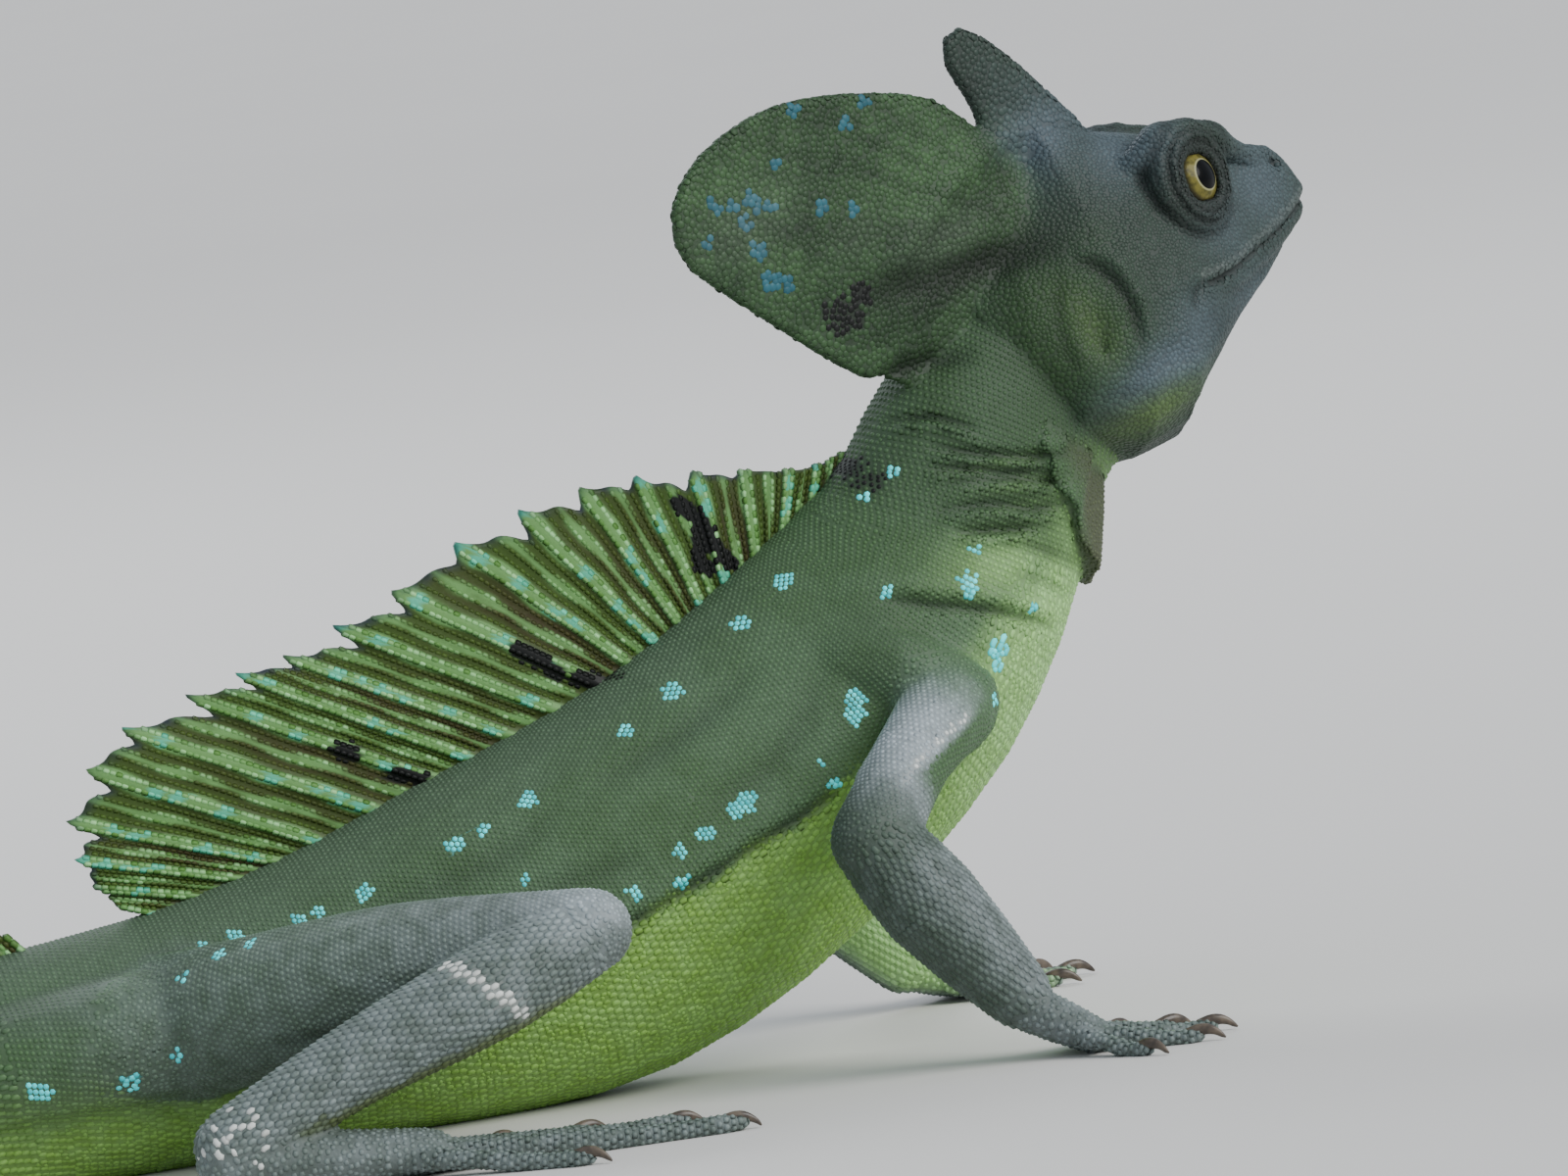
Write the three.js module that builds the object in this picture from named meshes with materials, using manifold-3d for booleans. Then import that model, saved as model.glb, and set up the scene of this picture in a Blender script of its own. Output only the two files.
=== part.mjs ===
// A green basilisk, an adult male, life size and still, propped up on its forelegs.
// Millimetres, +X towards the head, +Y to the animal's left, +Z up. The origin is on the floor,
// at the middle of the patch where the belly rests.
import * as THREE from "three";
import Module from "manifold-3d";

const wasm = await Module();
wasm.setup();

// Driving dimensions
const GAP = 0.3; // between one node and the next
const UP = new THREE.Vector3(0, 0, 1);
const RIGHT = -1;
const LEFT = 1;

// Body stations from the tail's tip to the inside of the head.
// Each is x, y, z, half width, height above and below the middle, and how far the top is narrowed.
const SPINE = [
  [-655, -4, 0.5, 0.6, 0.6, 0.6, 0],
  [-610, 2, 1.1, 1.1, 1.2, 1.2, 0],
  [-540, 15, 1.7, 1.7, 1.8, 1.8, 0],
  [-460, 29, 2.5, 2.3, 2.7, 2.7, 0],
  [-380, 36, 3.5, 3.1, 3.8, 3.7, 0],
  [-300, 32, 4.8, 3.9, 5.1, 5.0, 0],
  [-230, 21, 6.5, 4.8, 6.9, 6.7, 0.05],
  [-170, 10, 8.6, 6.0, 9.0, 8.8, 0.08],
  [-125, 4, 11.0, 7.6, 11.6, 11.2, 0.1],
  [-90, 1, 13.9, 9.6, 14.2, 14.1, 0.12],
  [-63, 0, 17.6, 12.2, 16.4, 17.8, 0.14],
  [-42, 0, 18.6, 14.8, 17.6, 18.9, 0.15],
  [-16.5, 0, 20.8, 17.4, 21.2, 21.2, 0.16],
  [6, 0, 24.4, 19.0, 25.0, 25.2, 0.17],
  [24.5, 0, 28.6, 19.6, 26.8, 27.2, 0.17],
  [42.3, 0, 35.8, 19.2, 26.6, 26.4, 0.16],
  [59.6, 0, 46.2, 18.2, 26.0, 24.8, 0.15],
  [73, 0, 56.5, 16.8, 25.0, 22.8, 0.14],
  [82.3, 0, 67, 15.0, 22.8, 20.4, 0.1],
  [87.2, 0.4, 76, 13.2, 20.2, 19.8, 0.05],
  [90.6, 1, 84, 12.4, 17.8, 20.2, 0],
  [94.6, 2, 91, 12.0, 15.6, 21.2, 0],
  [100, 3.2, 98, 10.6, 13.0, 18.0, 0],
  [107, 5, 104, 8, 10, 11, 0],
];
const STATION = { tailRoot: 10, neckRoot: 18.6, neckTop: 23 };
const TAIL_CUTS = [0, 2.6, 4.4, 6.1, 8, STATION.tailRoot];
const TORSO_CUTS = [STATION.tailRoot, 12.3, 15.6, STATION.neckRoot];

// The head's own frame: x along the jaws towards the snout, z up, turned and tipped on the neck.
const HEAD = { x: 107.1, y: 4, z: 99.8, turn: 22, tip: 20 };

// Head stations: x, z of the middle, half width, height above and below it, narrowing of the top.
const SKULL = [
  [-15, 9, 4, 6, 6, 0.2],
  [-10, 7, 8.6, 13, 12, 0.35],
  [-4, 3.5, 12.2, 22.5, 18.5, 0.48],
  [3, 1.5, 14.2, 28, 23.5, 0.52],
  [10, 0.5, 14.8, 26, 23.8, 0.46],
  [17, 0, 13.8, 22.6, 17.2, 0.32],
  [24, -0.5, 11.8, 19.0, 13.2, 0.16],
  [30, -1, 9.6, 15.8, 10.6, 0.06],
  [36, -1.2, 7.7, 12.2, 8.4, 0],
  [40.5, -0.8, 6.2, 10.1, 6.8, 0],
  [43.6, -0.7, 5.0, 7.8, 5.4, 0],
  [45.7, -0.7, 4.0, 6.4, 4.2, 0],
  [46.8, -0.6, 2.4, 3.8, 2.6, 0],
];
const MOUTH = { gap: 0.5, front: [54, -2.4], middle: [34, -4.0], corner: [17.4, -2.4], hinge: [10.5, -7], end: [3, -34] };
const LIPS = { from: 16.5, to: 44.4, steps: 9, front: 45.2, radius: 0.9 };
const EYE = { x: 24.0, y: 7.2, z: 10.6, radius: 5.4, out: 0.4, forward: 18, raised: 6 };
const LIDS = { ring: 5.4, roll: 1.35, tall: 1.07, out: 3.7, orbit: 7.8, orbitFlat: 0.6 };
const EAR = { x: -3.0, z: 1.4, wide: 3.0, deep: 1.1, tall: 6.2 };
const NOSTRIL = { x: 43.4, z: 4.2, radius: 0.9 };

// Ridges of the head on the right side: points x, y, z and a radius each.
const BROW = [
  [17, -7.4, 17.4, 1.5],
  [22, -9.0, 18.0, 2.1],
  [28, -9.2, 17.0, 2.1],
  [33, -7.2, 12.7, 1.6],
  [38.5, -5.2, 8.2, 1.2],
  [43, -3.3, 6.0, 1.1],
];

// Crests on the head: outline points in the head's own x and z, from the front root to the back root.
const FRONT_CREST = {
  root: [[19.5, 20.5], [0.5, 27]],
  edge: [[17.4, 24.2], [14.0, 32.4], [10.4, 39.8], [7.0, 45.0], [4.0, 47.2], [1.3, 45.6], [0.8, 42.0], [1.6, 37.6], [1.6, 33], [0.2, 30]],
  thick: 3.4,
  rim: 1.1,
};
const REAR_CREST = {
  root: [[4, 24], [-12, 4]],
  edge: [[0.6, 32.2], [-4.6, 40.2], [-14.8, 46.6], [-27.6, 51.8], [-39, 52.8], [-48, 50.6], [-53.4, 45.6],
    [-53.6, 39.6], [-49.6, 32.6], [-44.6, 25.0], [-39.4, 17.2], [-34.4, 10.8], [-27, 5.6]],
  thick: 9,
  rim: 1.3,
};

// The back crest's strong rays, front to rear: x, z of the root and x, z of the tip.
const BACK_RAYS = [
  [70.5, 86, 71, 87.2],
  [65.5, 82, 66.8, 85.6],
  [60.5, 78, 62.4, 85.8],
  [55.6, 74.6, 56, 86.8],
  [50.6, 71.6, 48.4, 87.9],
  [46.4, 69, 40, 88.4],
  [42.6, 66.8, 31.6, 88],
  [38.6, 64.6, 22, 86.2],
  [34, 62.4, 12.2, 82.9],
  [28.7, 60, 1.9, 77.4],
  [21.8, 57.2, -7.4, 73.8],
  [14.8, 54.6, -15.1, 70.6],
  [8.6, 52.2, -22.5, 69.2],
  [2.6, 50, -30.1, 67.2],
  [-6.1, 46.8, -39.9, 64],
  [-15, 43.6, -46, 58.8],
  [-22, 41.8, -49.9, 51.8],
  [-28, 40.2, -49.6, 46.2],
  [-34.4, 38.6, -47.2, 41.6],
  [-41, 37, -44.4, 38.4],
];
const BACK_CREST = { sunk: 2.5, notch: 0.09, thick: 0.9, rib: 1.5, rows: 2 };

// The tail crest along the tail: share of its length, height, lean above the horizontal in degrees.
const TAIL_CREST = {
  from: 10.3,
  to: 4.5,
  rays: 24,
  notch: 0.1,
  shape: [[0, 3, 50], [0.1, 9, 44], [0.25, 20, 40], [0.42, 23, 40], [0.58, 19, 42], [0.75, 12, 45], [0.9, 6, 48], [1, 1.6, 50]],
  thick: 0.9,
  rib: 1.0,
  rows: 2,
};

// The fold across the throat: stations of its root and edge, how far round it reaches and stands out.
const THROAT_FOLD = { root: 22.2, edge: 18.6, round: 80, out: 1.9, thick: 1.6, columns: 16, rows: 3 };

// Legs: each bone's ends and radii, on the right side. The left side mirrors y.
const ARM = {
  shoulder: [79, -9, 49, 7.6],
  socket: [76.5, -18.5, 49.2, 6.8],
  upper: [68.5, -28.5, 44.2, 5.6],
  elbow: [59.4, -36.2, 34.4, 6.0],
  lower: [66, -38.2, 24.2, 7.2],
  wrist: [76.2, -40.4, 9.8, 4.8],
};
// The left foreleg reaches a little lower and further forward.
const FAR_ARM = {
  ...ARM,
  elbow: [59, -34.6, 31.6, 6.0],
  lower: [67, -35.6, 20.4, 7.2],
  wrist: [77.2, -37.4, 7.4, 4.8],
};
const LEG = {
  hip: [-42, -6, 20, 11],
  socket: [-33, -18, 22.5, 10.4],
  thigh: [-10, -36, 27.5, 8.8],
  knee: [14.4, -48.5, 29.6, 5.9],
  calf: [-1, -51, 23.9, 6.7],
  shank: [-22, -51.5, 16.6, 5.6],
  ankle: [-41, -51, 8.2, 4.9],
};

// Digits: heading from straight ahead (outwards is negative on the right), length, radius.
const FINGERS = [[32, 9, 1.5], [12, 13, 1.5], [-8, 15.5, 1.5], [-28, 15, 1.5], [-56, 11, 1.4]];
const TOES = [[26, 15, 1.7], [12, 24, 1.7], [0, 34, 1.8], [-10, 42, 1.8], [-34, 24, 1.6]];
const CLAW = { length: 4.2, radius: 1.0 };

const PALM = { from: [77.5, -41.2, 7.4], to: [85, -42.5, 2.9], wide: 6.2, thick: 3.4 };
const FAR_PALM = { ...PALM, from: [78.6, -38, 5.8], to: [86, -39.4, 2.9] };
const FOOT = { from: [-42, -51, 6], to: [-14, -53, 3.2], wide: 5.8, thick: 4.0 };

// Colours of the finishes
const material = (color, roughness = 0.6) => new THREE.MeshStandardMaterial({ color, roughness, metalness: 0 });
const SKIN = material(0x3f6a3c);
const SLATE = material(0x55665c);
const SAIL = material(0x5f7f2c);
const GOLD = material(0xb89a2e, 0.15);

// Smooth values through keyed rows [place, value, value...].
function keyed(rows) {
  const width = rows[0].length - 1;
  const places = rows.map((row) => row[0]);
  const interpolant = new THREE.CubicInterpolant(places, rows.flatMap((row) => row.slice(1)), width);
  return (place) => Array.from(interpolant.evaluate(place));
}

function solidOf(positions, triangles) {
  return new wasm.Manifold(
    new wasm.Mesh({ numProp: 3, vertProperties: new Float32Array(positions), triVerts: new Uint32Array(triangles) }),
  );
}

// A closed three.js geometry, such as a sphere or a box, as a solid.
function solidFrom(geometry, x = 0, y = 0, z = 0) {
  const seen = new Map();
  const positions = [];
  const point = new THREE.Vector3();
  const place = geometry.getAttribute("position");
  const renumber = [];
  for (let i = 0; i < place.count; i++) {
    point.fromBufferAttribute(place, i);
    const key = point.toArray().map((value) => Math.round(value * 1e4)).join();
    if (!seen.has(key)) {
      seen.set(key, seen.size);
      positions.push(point.x + x, point.y + y, point.z + z);
    }
    renumber.push(seen.get(key));
  }
  const order = geometry.index ? Array.from(geometry.index.array) : renumber.map((_, i) => i);
  const triangles = [];
  for (let i = 0; i < order.length; i += 3) {
    const [a, b, c] = [renumber[order[i]], renumber[order[i + 1]], renumber[order[i + 2]]];
    if (a !== b && b !== c && a !== c) triangles.push(a, b, c);
  }
  return solidOf(positions, triangles);
}

function join(solids) {
  return solids.reduce((whole, solid) => whole.add(solid));
}

// Closes rings of points, listed counter-clockwise about the way they advance, into one solid.
function closeRings(rings, first, last) {
  const sides = rings[0].length;
  const positions = rings.flat().flatMap((p) => [p.x, p.y, p.z]);
  const start = positions.length / 3;
  positions.push(first.x, first.y, first.z, last.x, last.y, last.z);
  const triangles = [];
  for (let k = 0; k < sides; k++) {
    const next = (k + 1) % sides;
    triangles.push(start, next, k);
    for (let i = 0; i + 1 < rings.length; i++) {
      const a = i * sides;
      const b = a + sides;
      triangles.push(a + k, a + next, b + next, a + k, b + next, b + k);
    }
    const end = (rings.length - 1) * sides;
    triangles.push(start + 1, end + k, end + next);
  }
  return solidOf(positions, triangles);
}

// A body along stations [x, y, z, half width, above, below, narrowing].
class Loft {
  constructor(stations, up = UP) {
    this.up = up;
    this.count = stations.length - 1;
    this.path = new THREE.CatmullRomCurve3(stations.map((s) => new THREE.Vector3(s[0], s[1], s[2])), false, "centripetal");
    this.sizes = keyed(stations.map((s, i) => [i, ...s.slice(3)]));
  }

  frame(t) {
    const share = THREE.MathUtils.clamp(t / this.count, 0, 1);
    const ahead = this.path.getTangent(share);
    const side = new THREE.Vector3().crossVectors(this.up, ahead).normalize();
    const top = new THREE.Vector3().crossVectors(ahead, side);
    return { middle: this.path.getPoint(share), ahead, side, top, size: this.sizes(THREE.MathUtils.clamp(t, 0, this.count)) };
  }

  // A point of the surface: angle 0 is to the left, a quarter turn is the top.
  surface(t, angle, grow = 0) {
    const { middle, side, top, size } = this.frame(t);
    const rise = Math.sin(angle);
    const [wide, above, below, narrow = 0] = size;
    const across = (wide + grow) * Math.cos(angle) * (1 - narrow * rise);
    const high = ((rise > 0 ? above : below) + grow) * rise;
    return middle.clone().addScaledVector(side, across).addScaledVector(top, high);
  }

  ring(t, sides, grow) {
    return Array.from({ length: sides }, (_, k) => this.surface(t, (2 * Math.PI * k) / sides, grow));
  }

  // The solid from one station to another, with domed ends where asked.
  solid({ from = 0, to = this.count, sides = 12, spacing = 8, grow = 0, domeStart = false, domeEnd = false } = {}) {
    const length = this.path.getLength() / this.count;
    const marks = [];
    for (let i = from; i < to; ) {
      marks.push(i);
      const stop = Math.min(Math.floor(i + 1 + 1e-6), to);
      const span = this.path.getPoint(i / this.count).distanceTo(this.path.getPoint(stop / this.count));
      const pieces = Math.max(1, Math.round(span / spacing));
      for (let k = 1; k < pieces; k++) marks.push(i + ((stop - i) * k) / pieces);
      i = stop;
    }
    marks.push(to);
    const rings = marks.map((t) => this.ring(t, sides, grow));
    const ends = [from, to].map((t) => this.frame(t).middle);
    const dome = (t, way, ring) => {
      const { middle, ahead, size } = this.frame(t);
      const reach = (size[0] + size[1] + size[2]) / 3 + grow;
      const made = [0.5, 0.86].map((share) => {
        const shrink = Math.sqrt(1 - share * share);
        return ring.map((p) => middle.clone().lerp(p, shrink).addScaledVector(ahead, way * share * reach));
      });
      return { made, tip: middle.clone().addScaledVector(ahead, way * reach) };
    };
    if (domeStart) {
      const { made, tip } = dome(from, -1, rings[0]);
      rings.unshift(...made.reverse());
      ends[0] = tip;
    }
    if (domeEnd) {
      const { made, tip } = dome(to, 1, rings[rings.length - 1]);
      rings.push(...made);
      ends[1] = tip;
    }
    return length > 0 ? closeRings(rings, ends[0], ends[1]) : null;
  }

  // How far along, in stations, a gap of that many millimetres reaches at t.
  stationsIn(millimetres, t) {
    const step = 0.05;
    const a = this.path.getPoint(Math.max(t - step, 0) / this.count);
    const b = this.path.getPoint(Math.min(t + step, this.count) / this.count);
    return (millimetres * 2 * step) / a.distanceTo(b);
  }
}

// A thin leaf between a root line and an edge line, both faces split into triangles alike.
function vane({ root, edge, normal, thick, columns, rows }) {
  const positions = [];
  const across = rows + 1;
  for (const face of [1, -1]) {
    for (let i = 0; i <= columns; i++) {
      const u = i / columns;
      const [a, b, n] = [root(u), edge(u), normal(u)];
      for (let j = 0; j <= rows; j++) {
        const v = j / rows;
        const p = a.clone().lerp(b, v).addScaledVector(n, (face * thick(u, v)) / 2);
        positions.push(p.x, p.y, p.z);
      }
    }
  }
  const half = (columns + 1) * across;
  const at = (i, j) => i * across + j;
  const triangles = [];
  for (let i = 0; i < columns; i++) {
    for (let j = 0; j < rows; j++) {
      const [a, b, c, d] = [at(i, j), at(i + 1, j), at(i + 1, j + 1), at(i, j + 1)];
      triangles.push(a, b, c, a, c, d);
      triangles.push(half + a, half + c, half + b, half + a, half + d, half + c);
    }
  }
  const rim = [];
  for (let i = 0; i < columns; i++) rim.push(at(i, 0));
  for (let j = 0; j < rows; j++) rim.push(at(columns, j));
  for (let i = columns; i > 0; i--) rim.push(at(i, rows));
  for (let j = rows; j > 0; j--) rim.push(at(0, j));
  rim.forEach((a, k) => {
    const b = rim[(k + 1) % rim.length];
    triangles.push(a, half + a, half + b, a, half + b, b);
  });
  const made = solidOf(positions, triangles);
  if (made.volume() > 0) return made;
  for (let i = 0; i < triangles.length; i += 3) [triangles[i + 1], triangles[i + 2]] = [triangles[i + 2], triangles[i + 1]];
  return solidOf(positions, triangles);
}

// The largest closed piece of a solid.
function largest(solid) {
  return solid.decompose().reduce((best, piece) => (piece.volume() > best.volume() ? piece : best));
}

function meshOf(name, solid, look) {
  const mesh = largest(solid).getMesh();
  const positions = new Float32Array(mesh.numVert * 3);
  for (let i = 0; i < mesh.numVert; i++) {
    positions.set(mesh.vertProperties.subarray(i * mesh.numProp, i * mesh.numProp + 3), i * 3);
  }
  const geometry = new THREE.BufferGeometry()
    .setAttribute("position", new THREE.BufferAttribute(positions, 3))
    .setIndex(new THREE.BufferAttribute(mesh.triVerts, 1));
  geometry.computeVertexNormals();
  const made = new THREE.Mesh(geometry, look);
  made.name = name;
  return made;
}

const basilisk = new THREE.Group();
const floor = solidFrom(new THREE.BoxGeometry(1200, 400, 40), -250, 0, -20);

// Neck, torso and tail are lengths of one body.
const body = new Loft(SPINE);
const bodyGrown = body.solid({ from: 8, to: STATION.neckTop, sides: 24, spacing: 9, grow: GAP });

function bodyLength(from, to, sides, spacing) {
  return body.solid({ from: from === 0 ? 0 : from + body.stationsIn(GAP, from), to, sides, spacing });
}

function buildTorso() {
  const names = ["pelvis", "abdomen", "chest"];
  names.forEach((name, i) => {
    const length = bodyLength(TORSO_CUTS[i], TORSO_CUTS[i + 1], 24, 9);
    basilisk.add(meshOf(name, length.subtract(floor), SKIN));
  });
}

function buildTail() {
  const names = ["tail_5", "tail_4", "tail_3", "tail_2", "tail_1"];
  const sides = [8, 10, 10, 12, 14];
  names.forEach((name, i) => {
    const length = bodyLength(TAIL_CUTS[i], TAIL_CUTS[i + 1], sides[i], 20);
    basilisk.add(meshOf(name, length.subtract(floor), SKIN));
  });
}

// The head's frame as a group, and as a matrix that carries its solids to the neck.
const head = new THREE.Group();
head.position.set(HEAD.x, HEAD.y, HEAD.z);
head.rotation.set(0, THREE.MathUtils.degToRad(-HEAD.tip), THREE.MathUtils.degToRad(HEAD.turn), "ZYX");
head.updateMatrixWorld(true);
const toBody = (solid) => solid.transform(head.matrixWorld.elements);
const toHead = (solid) => solid.transform(head.matrixWorld.clone().invert().elements);

const skull = new Loft(SKULL.map(([x, z, ...sizes]) => [x, 0, z, ...sizes]));

function ball(radius, x, y, z, stretch = [1, 1, 1], detail = 10) {
  const sphere = new THREE.SphereGeometry(radius, detail, Math.round(detail / 2));
  sphere.scale(...stretch);
  return solidFrom(sphere, x, y, z);
}

// The way an eye looks out of the head on one side.
function gaze(side) {
  const forward = THREE.MathUtils.degToRad(EYE.forward);
  const raised = THREE.MathUtils.degToRad(EYE.raised);
  return new THREE.Vector3(
    Math.sin(forward) * Math.cos(raised),
    side * Math.cos(forward) * Math.cos(raised),
    Math.sin(raised),
  );
}

// A ring or a dome round the eye, made about +Z and turned to face the eye's way.
function roundEye(geometry, side, out) {
  const way = gaze(side);
  geometry.applyQuaternion(new THREE.Quaternion().setFromUnitVectors(UP, way));
  return solidFrom(geometry, EYE.x + way.x * out, side * EYE.y + way.y * out, EYE.z + way.z * out);
}

function jawCut() {
  const line = mouthLine();
  const points = line.getPoints(22);
  const outline = points.map((p) => new THREE.Vector2(p.x, p.y));
  const back = points.map((p, i) => {
    const ahead = line.getTangent(i / 22);
    return new THREE.Vector2(p.x - ahead.y * MOUTH.gap, p.y + ahead.x * MOUTH.gap);
  });
  const strip = new THREE.ExtrudeGeometry(new THREE.Shape([...outline, ...back.reverse()]), { depth: 60, bevelEnabled: false });
  strip.translate(0, 0, -30);
  strip.rotateX(Math.PI / 2);
  return solidFrom(strip);
}

function mouthLine() {
  const points = [MOUTH.front, MOUTH.middle, MOUTH.corner, MOUTH.hinge, MOUTH.end];
  return new THREE.CatmullRomCurve3(points.map(([x, z]) => new THREE.Vector3(x, z, 0)));
}

// The point of the skull's surface at a given x and z, on one side.
function onSkull(x, z, side, grow = 0) {
  let [low, high] = [0, skull.count];
  for (let i = 0; i < 24; i++) {
    const middle = (low + high) / 2;
    if (skull.frame(middle).middle.x < x) low = middle;
    else high = middle;
  }
  const { middle, size } = skull.frame(low);
  const rise = (z - middle.z) / (z > middle.z ? size[1] : size[2]);
  const angle = Math.asin(THREE.MathUtils.clamp(rise, -1, 1));
  return skull.surface(low, side > 0 ? angle : Math.PI - angle, grow);
}

// A low roll round the mouth, from one corner round the snout to the other.
function lips() {
  const height = keyed(mouthLine().getPoints(12).map((p) => [p.x, p.y]).reverse());
  const side = [];
  for (let i = 0; i <= LIPS.steps; i++) {
    const x = LIPS.from + ((LIPS.to - LIPS.from) * i) / LIPS.steps;
    side.push(onSkull(x, height(x)[0], LEFT, -0.15).toArray());
  }
  const other = side.map(([x, y, z]) => [x, -y, z]);
  const round = [...side, [LIPS.front, 0, height(LIPS.front)[0]], ...other.reverse()];
  const last = round.length - 1;
  const sized = round.map((p, i) => [...p, ...Array(3).fill(LIPS.radius * (0.45 + 0.55 * Math.sin((Math.PI * i) / last)))]);
  return new Loft(sized).solid({ sides: 6, spacing: 5, domeStart: true, domeEnd: true });
}

function skullSolid() {
  let solid = skull.solid({ sides: 24, spacing: 6 }).add(lips());
  for (const side of [LEFT, RIGHT]) {
    const orbit = new THREE.SphereGeometry(LIDS.orbit, 12, 6).scale(1, 1.05, LIDS.orbitFlat);
    const lids = new THREE.TorusGeometry(LIDS.ring, LIDS.roll, 6, 14).scale(1, LIDS.tall, 1);
    const brow = BROW.map(([x, y, z, r]) => [x, -side * y, z, r, r, r]);
    solid = solid
      .add(roundEye(orbit, side, 0.6))
      .add(roundEye(lids, side, LIDS.out))
      .add(new Loft(brow).solid({ sides: 6, spacing: 20 }));
  }
  return solid;
}

function buildHead() {
  let solid = skullSolid();
  for (const side of [LEFT, RIGHT]) {
    const ear = onSkull(EAR.x, EAR.z, side, -0.2);
    const nostril = onSkull(NOSTRIL.x, NOSTRIL.z, side);
    solid = solid
      .subtract(roundEye(new THREE.SphereGeometry(EYE.radius + GAP, 14, 8), side, EYE.out))
      .subtract(ball(1, ear.x, ear.y, ear.z, [EAR.wide, EAR.deep, EAR.tall], 12))
      .subtract(ball(NOSTRIL.radius, nostril.x, nostril.y, nostril.z, [1.2, 1, 0.8], 8));
  }
  const pieces = solid.subtract(jawCut()).decompose().sort((a, b) => b.volume() - a.volume());
  head.add(meshOf("head", pieces[0], SLATE));
  head.add(meshOf("lower_jaw", pieces[1], SLATE));
  for (const [name, side] of [["eye_left", LEFT], ["eye_right", RIGHT]]) {
    head.add(meshOf(name, roundEye(new THREE.SphereGeometry(EYE.radius, 16, 9), side, EYE.out), GOLD));
  }
}

// A crest of the head, thickest at its root, thinning to a rim.
function headCrest({ root, edge, thick, rim }, columns, rows) {
  const line = new THREE.CatmullRomCurve3(edge.map(([x, z]) => new THREE.Vector3(x, 0, z)), false, "centripetal");
  const foot = root.map(([x, z]) => new THREE.Vector3(x, 0, z));
  return vane({
    root: (u) => foot[0].clone().lerp(foot[1], u),
    edge: (u) => line.getPointAt(u),
    normal: () => new THREE.Vector3(0, 1, 0),
    thick: (u, v) => rim + (thick - rim) * Math.pow(1 - v, 1.3) * Math.sin(Math.PI * (0.12 + 0.76 * u)),
    columns,
    rows,
  });
}

function buildHeadCrests() {
  const skullGrown = skull.solid({ sides: 24, spacing: 6, grow: GAP });
  const front = headCrest(FRONT_CREST, 16, 3).subtract(skullGrown);
  head.add(meshOf("crest_front", front, SLATE));
  const rear = headCrest(REAR_CREST, 24, 4).subtract(skullGrown).subtract(toHead(bodyGrown)).subtract(headCrest(FRONT_CREST, 16, 3));
  head.add(meshOf("crest_rear", rear, SKIN));
}

function buildNeck() {
  const neck = bodyLength(STATION.neckRoot, STATION.neckTop, 24, 5);
  const headGrown = toBody(skull.solid({ sides: 24, spacing: 6, grow: GAP }));
  basilisk.add(meshOf("neck", neck.subtract(headGrown), SKIN));
  const { root, edge, round, out, thick, columns, rows } = THROAT_FOLD;
  const angle = (u) => THREE.MathUtils.degToRad(-90 - round + 2 * round * u);
  const fold = vane({
    root: (u) => body.surface(root, angle(u), -2),
    edge: (u) => body.surface(edge + 1.7 * Math.pow(2 * u - 1, 2), angle(u), out * Math.sin(Math.PI * (0.1 + 0.8 * u))),
    normal: (u) => body.surface(edge, angle(u), 1).sub(body.surface(edge, angle(u), 0)).normalize(),
    thick: () => thick,
    columns,
    rows,
  });
  const neckGrown = body.solid({ from: 17, to: STATION.neckTop, sides: 24, spacing: 5, grow: 1.5 * GAP });
  basilisk.add(meshOf("throat_fold", fold.subtract(neckGrown).subtract(headGrown), SKIN));
}

// The back crest: a ridge along each strong ray and a lower one between, and a scalloped edge.
function backCrest() {
  const { sunk, notch, thick, rib, rows } = BACK_CREST;
  const last = BACK_RAYS.length - 1;
  const line = keyed(BACK_RAYS.map((ray, i) => [i, ...ray]));
  const at = (u) => {
    const [rx, rz, tx, tz] = line(u * last);
    return [new THREE.Vector3(rx, 0, rz), new THREE.Vector3(tx, 0, tz)];
  };
  return vane({
    root: (u) => {
      const [root, tip] = at(u);
      return root.addScaledVector(tip.sub(root).normalize(), -sunk);
    },
    edge: (u) => {
      const [root, tip] = at(u);
      return root.lerp(tip, 1 - notch * Math.abs(Math.sin(Math.PI * u * last)));
    },
    normal: () => new THREE.Vector3(0, 1, 0),
    thick: (u, v) => {
      const strong = Math.pow(Math.cos(Math.PI * u * last), 4);
      const weak = 0.5 * Math.pow(Math.sin(Math.PI * u * last), 4);
      return thick + rib * (strong + weak) * (1 - 0.5 * v);
    },
    columns: last * 4,
    rows,
  });
}

// The tail crest: one ridge along each ray.
function tailCrest() {
  const { from, to, rays, notch, shape, thick, rib, rows } = TAIL_CREST;
  const size = keyed(shape);
  const station = (u) => from + (to - from) * u;
  const root = (u) => body.surface(station(u), Math.PI / 2, -2);
  return vane({
    root,
    edge: (u) => {
      const [height, rise] = size(u);
      const lean = THREE.MathUtils.degToRad(rise);
      const reach = 2 + (height / Math.sin(lean)) * 0.8 * (1 - notch * Math.abs(Math.sin(Math.PI * u * rays)));
      const back = body.frame(station(u)).ahead.negate().setZ(0).normalize();
      return root(u).addScaledVector(back, Math.cos(lean) * reach).addScaledVector(UP, Math.sin(lean) * reach);
    },
    normal: (u) => body.frame(station(u)).side,
    thick: (u, v) => thick + rib * Math.pow(Math.cos(Math.PI * u * rays), 2) * (1 - 0.5 * v),
    columns: rays * 2,
    rows,
  });
}

function buildBodyCrests() {
  basilisk.add(meshOf("crest_back", backCrest().subtract(bodyGrown), SAIL));
  const tailGrown = body.solid({ from: 3, to: STATION.tailRoot + 2, sides: 14, spacing: 14, grow: 1.5 * GAP });
  basilisk.add(meshOf("crest_tail", tailCrest().subtract(tailGrown).subtract(bodyGrown), SAIL));
}

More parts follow.
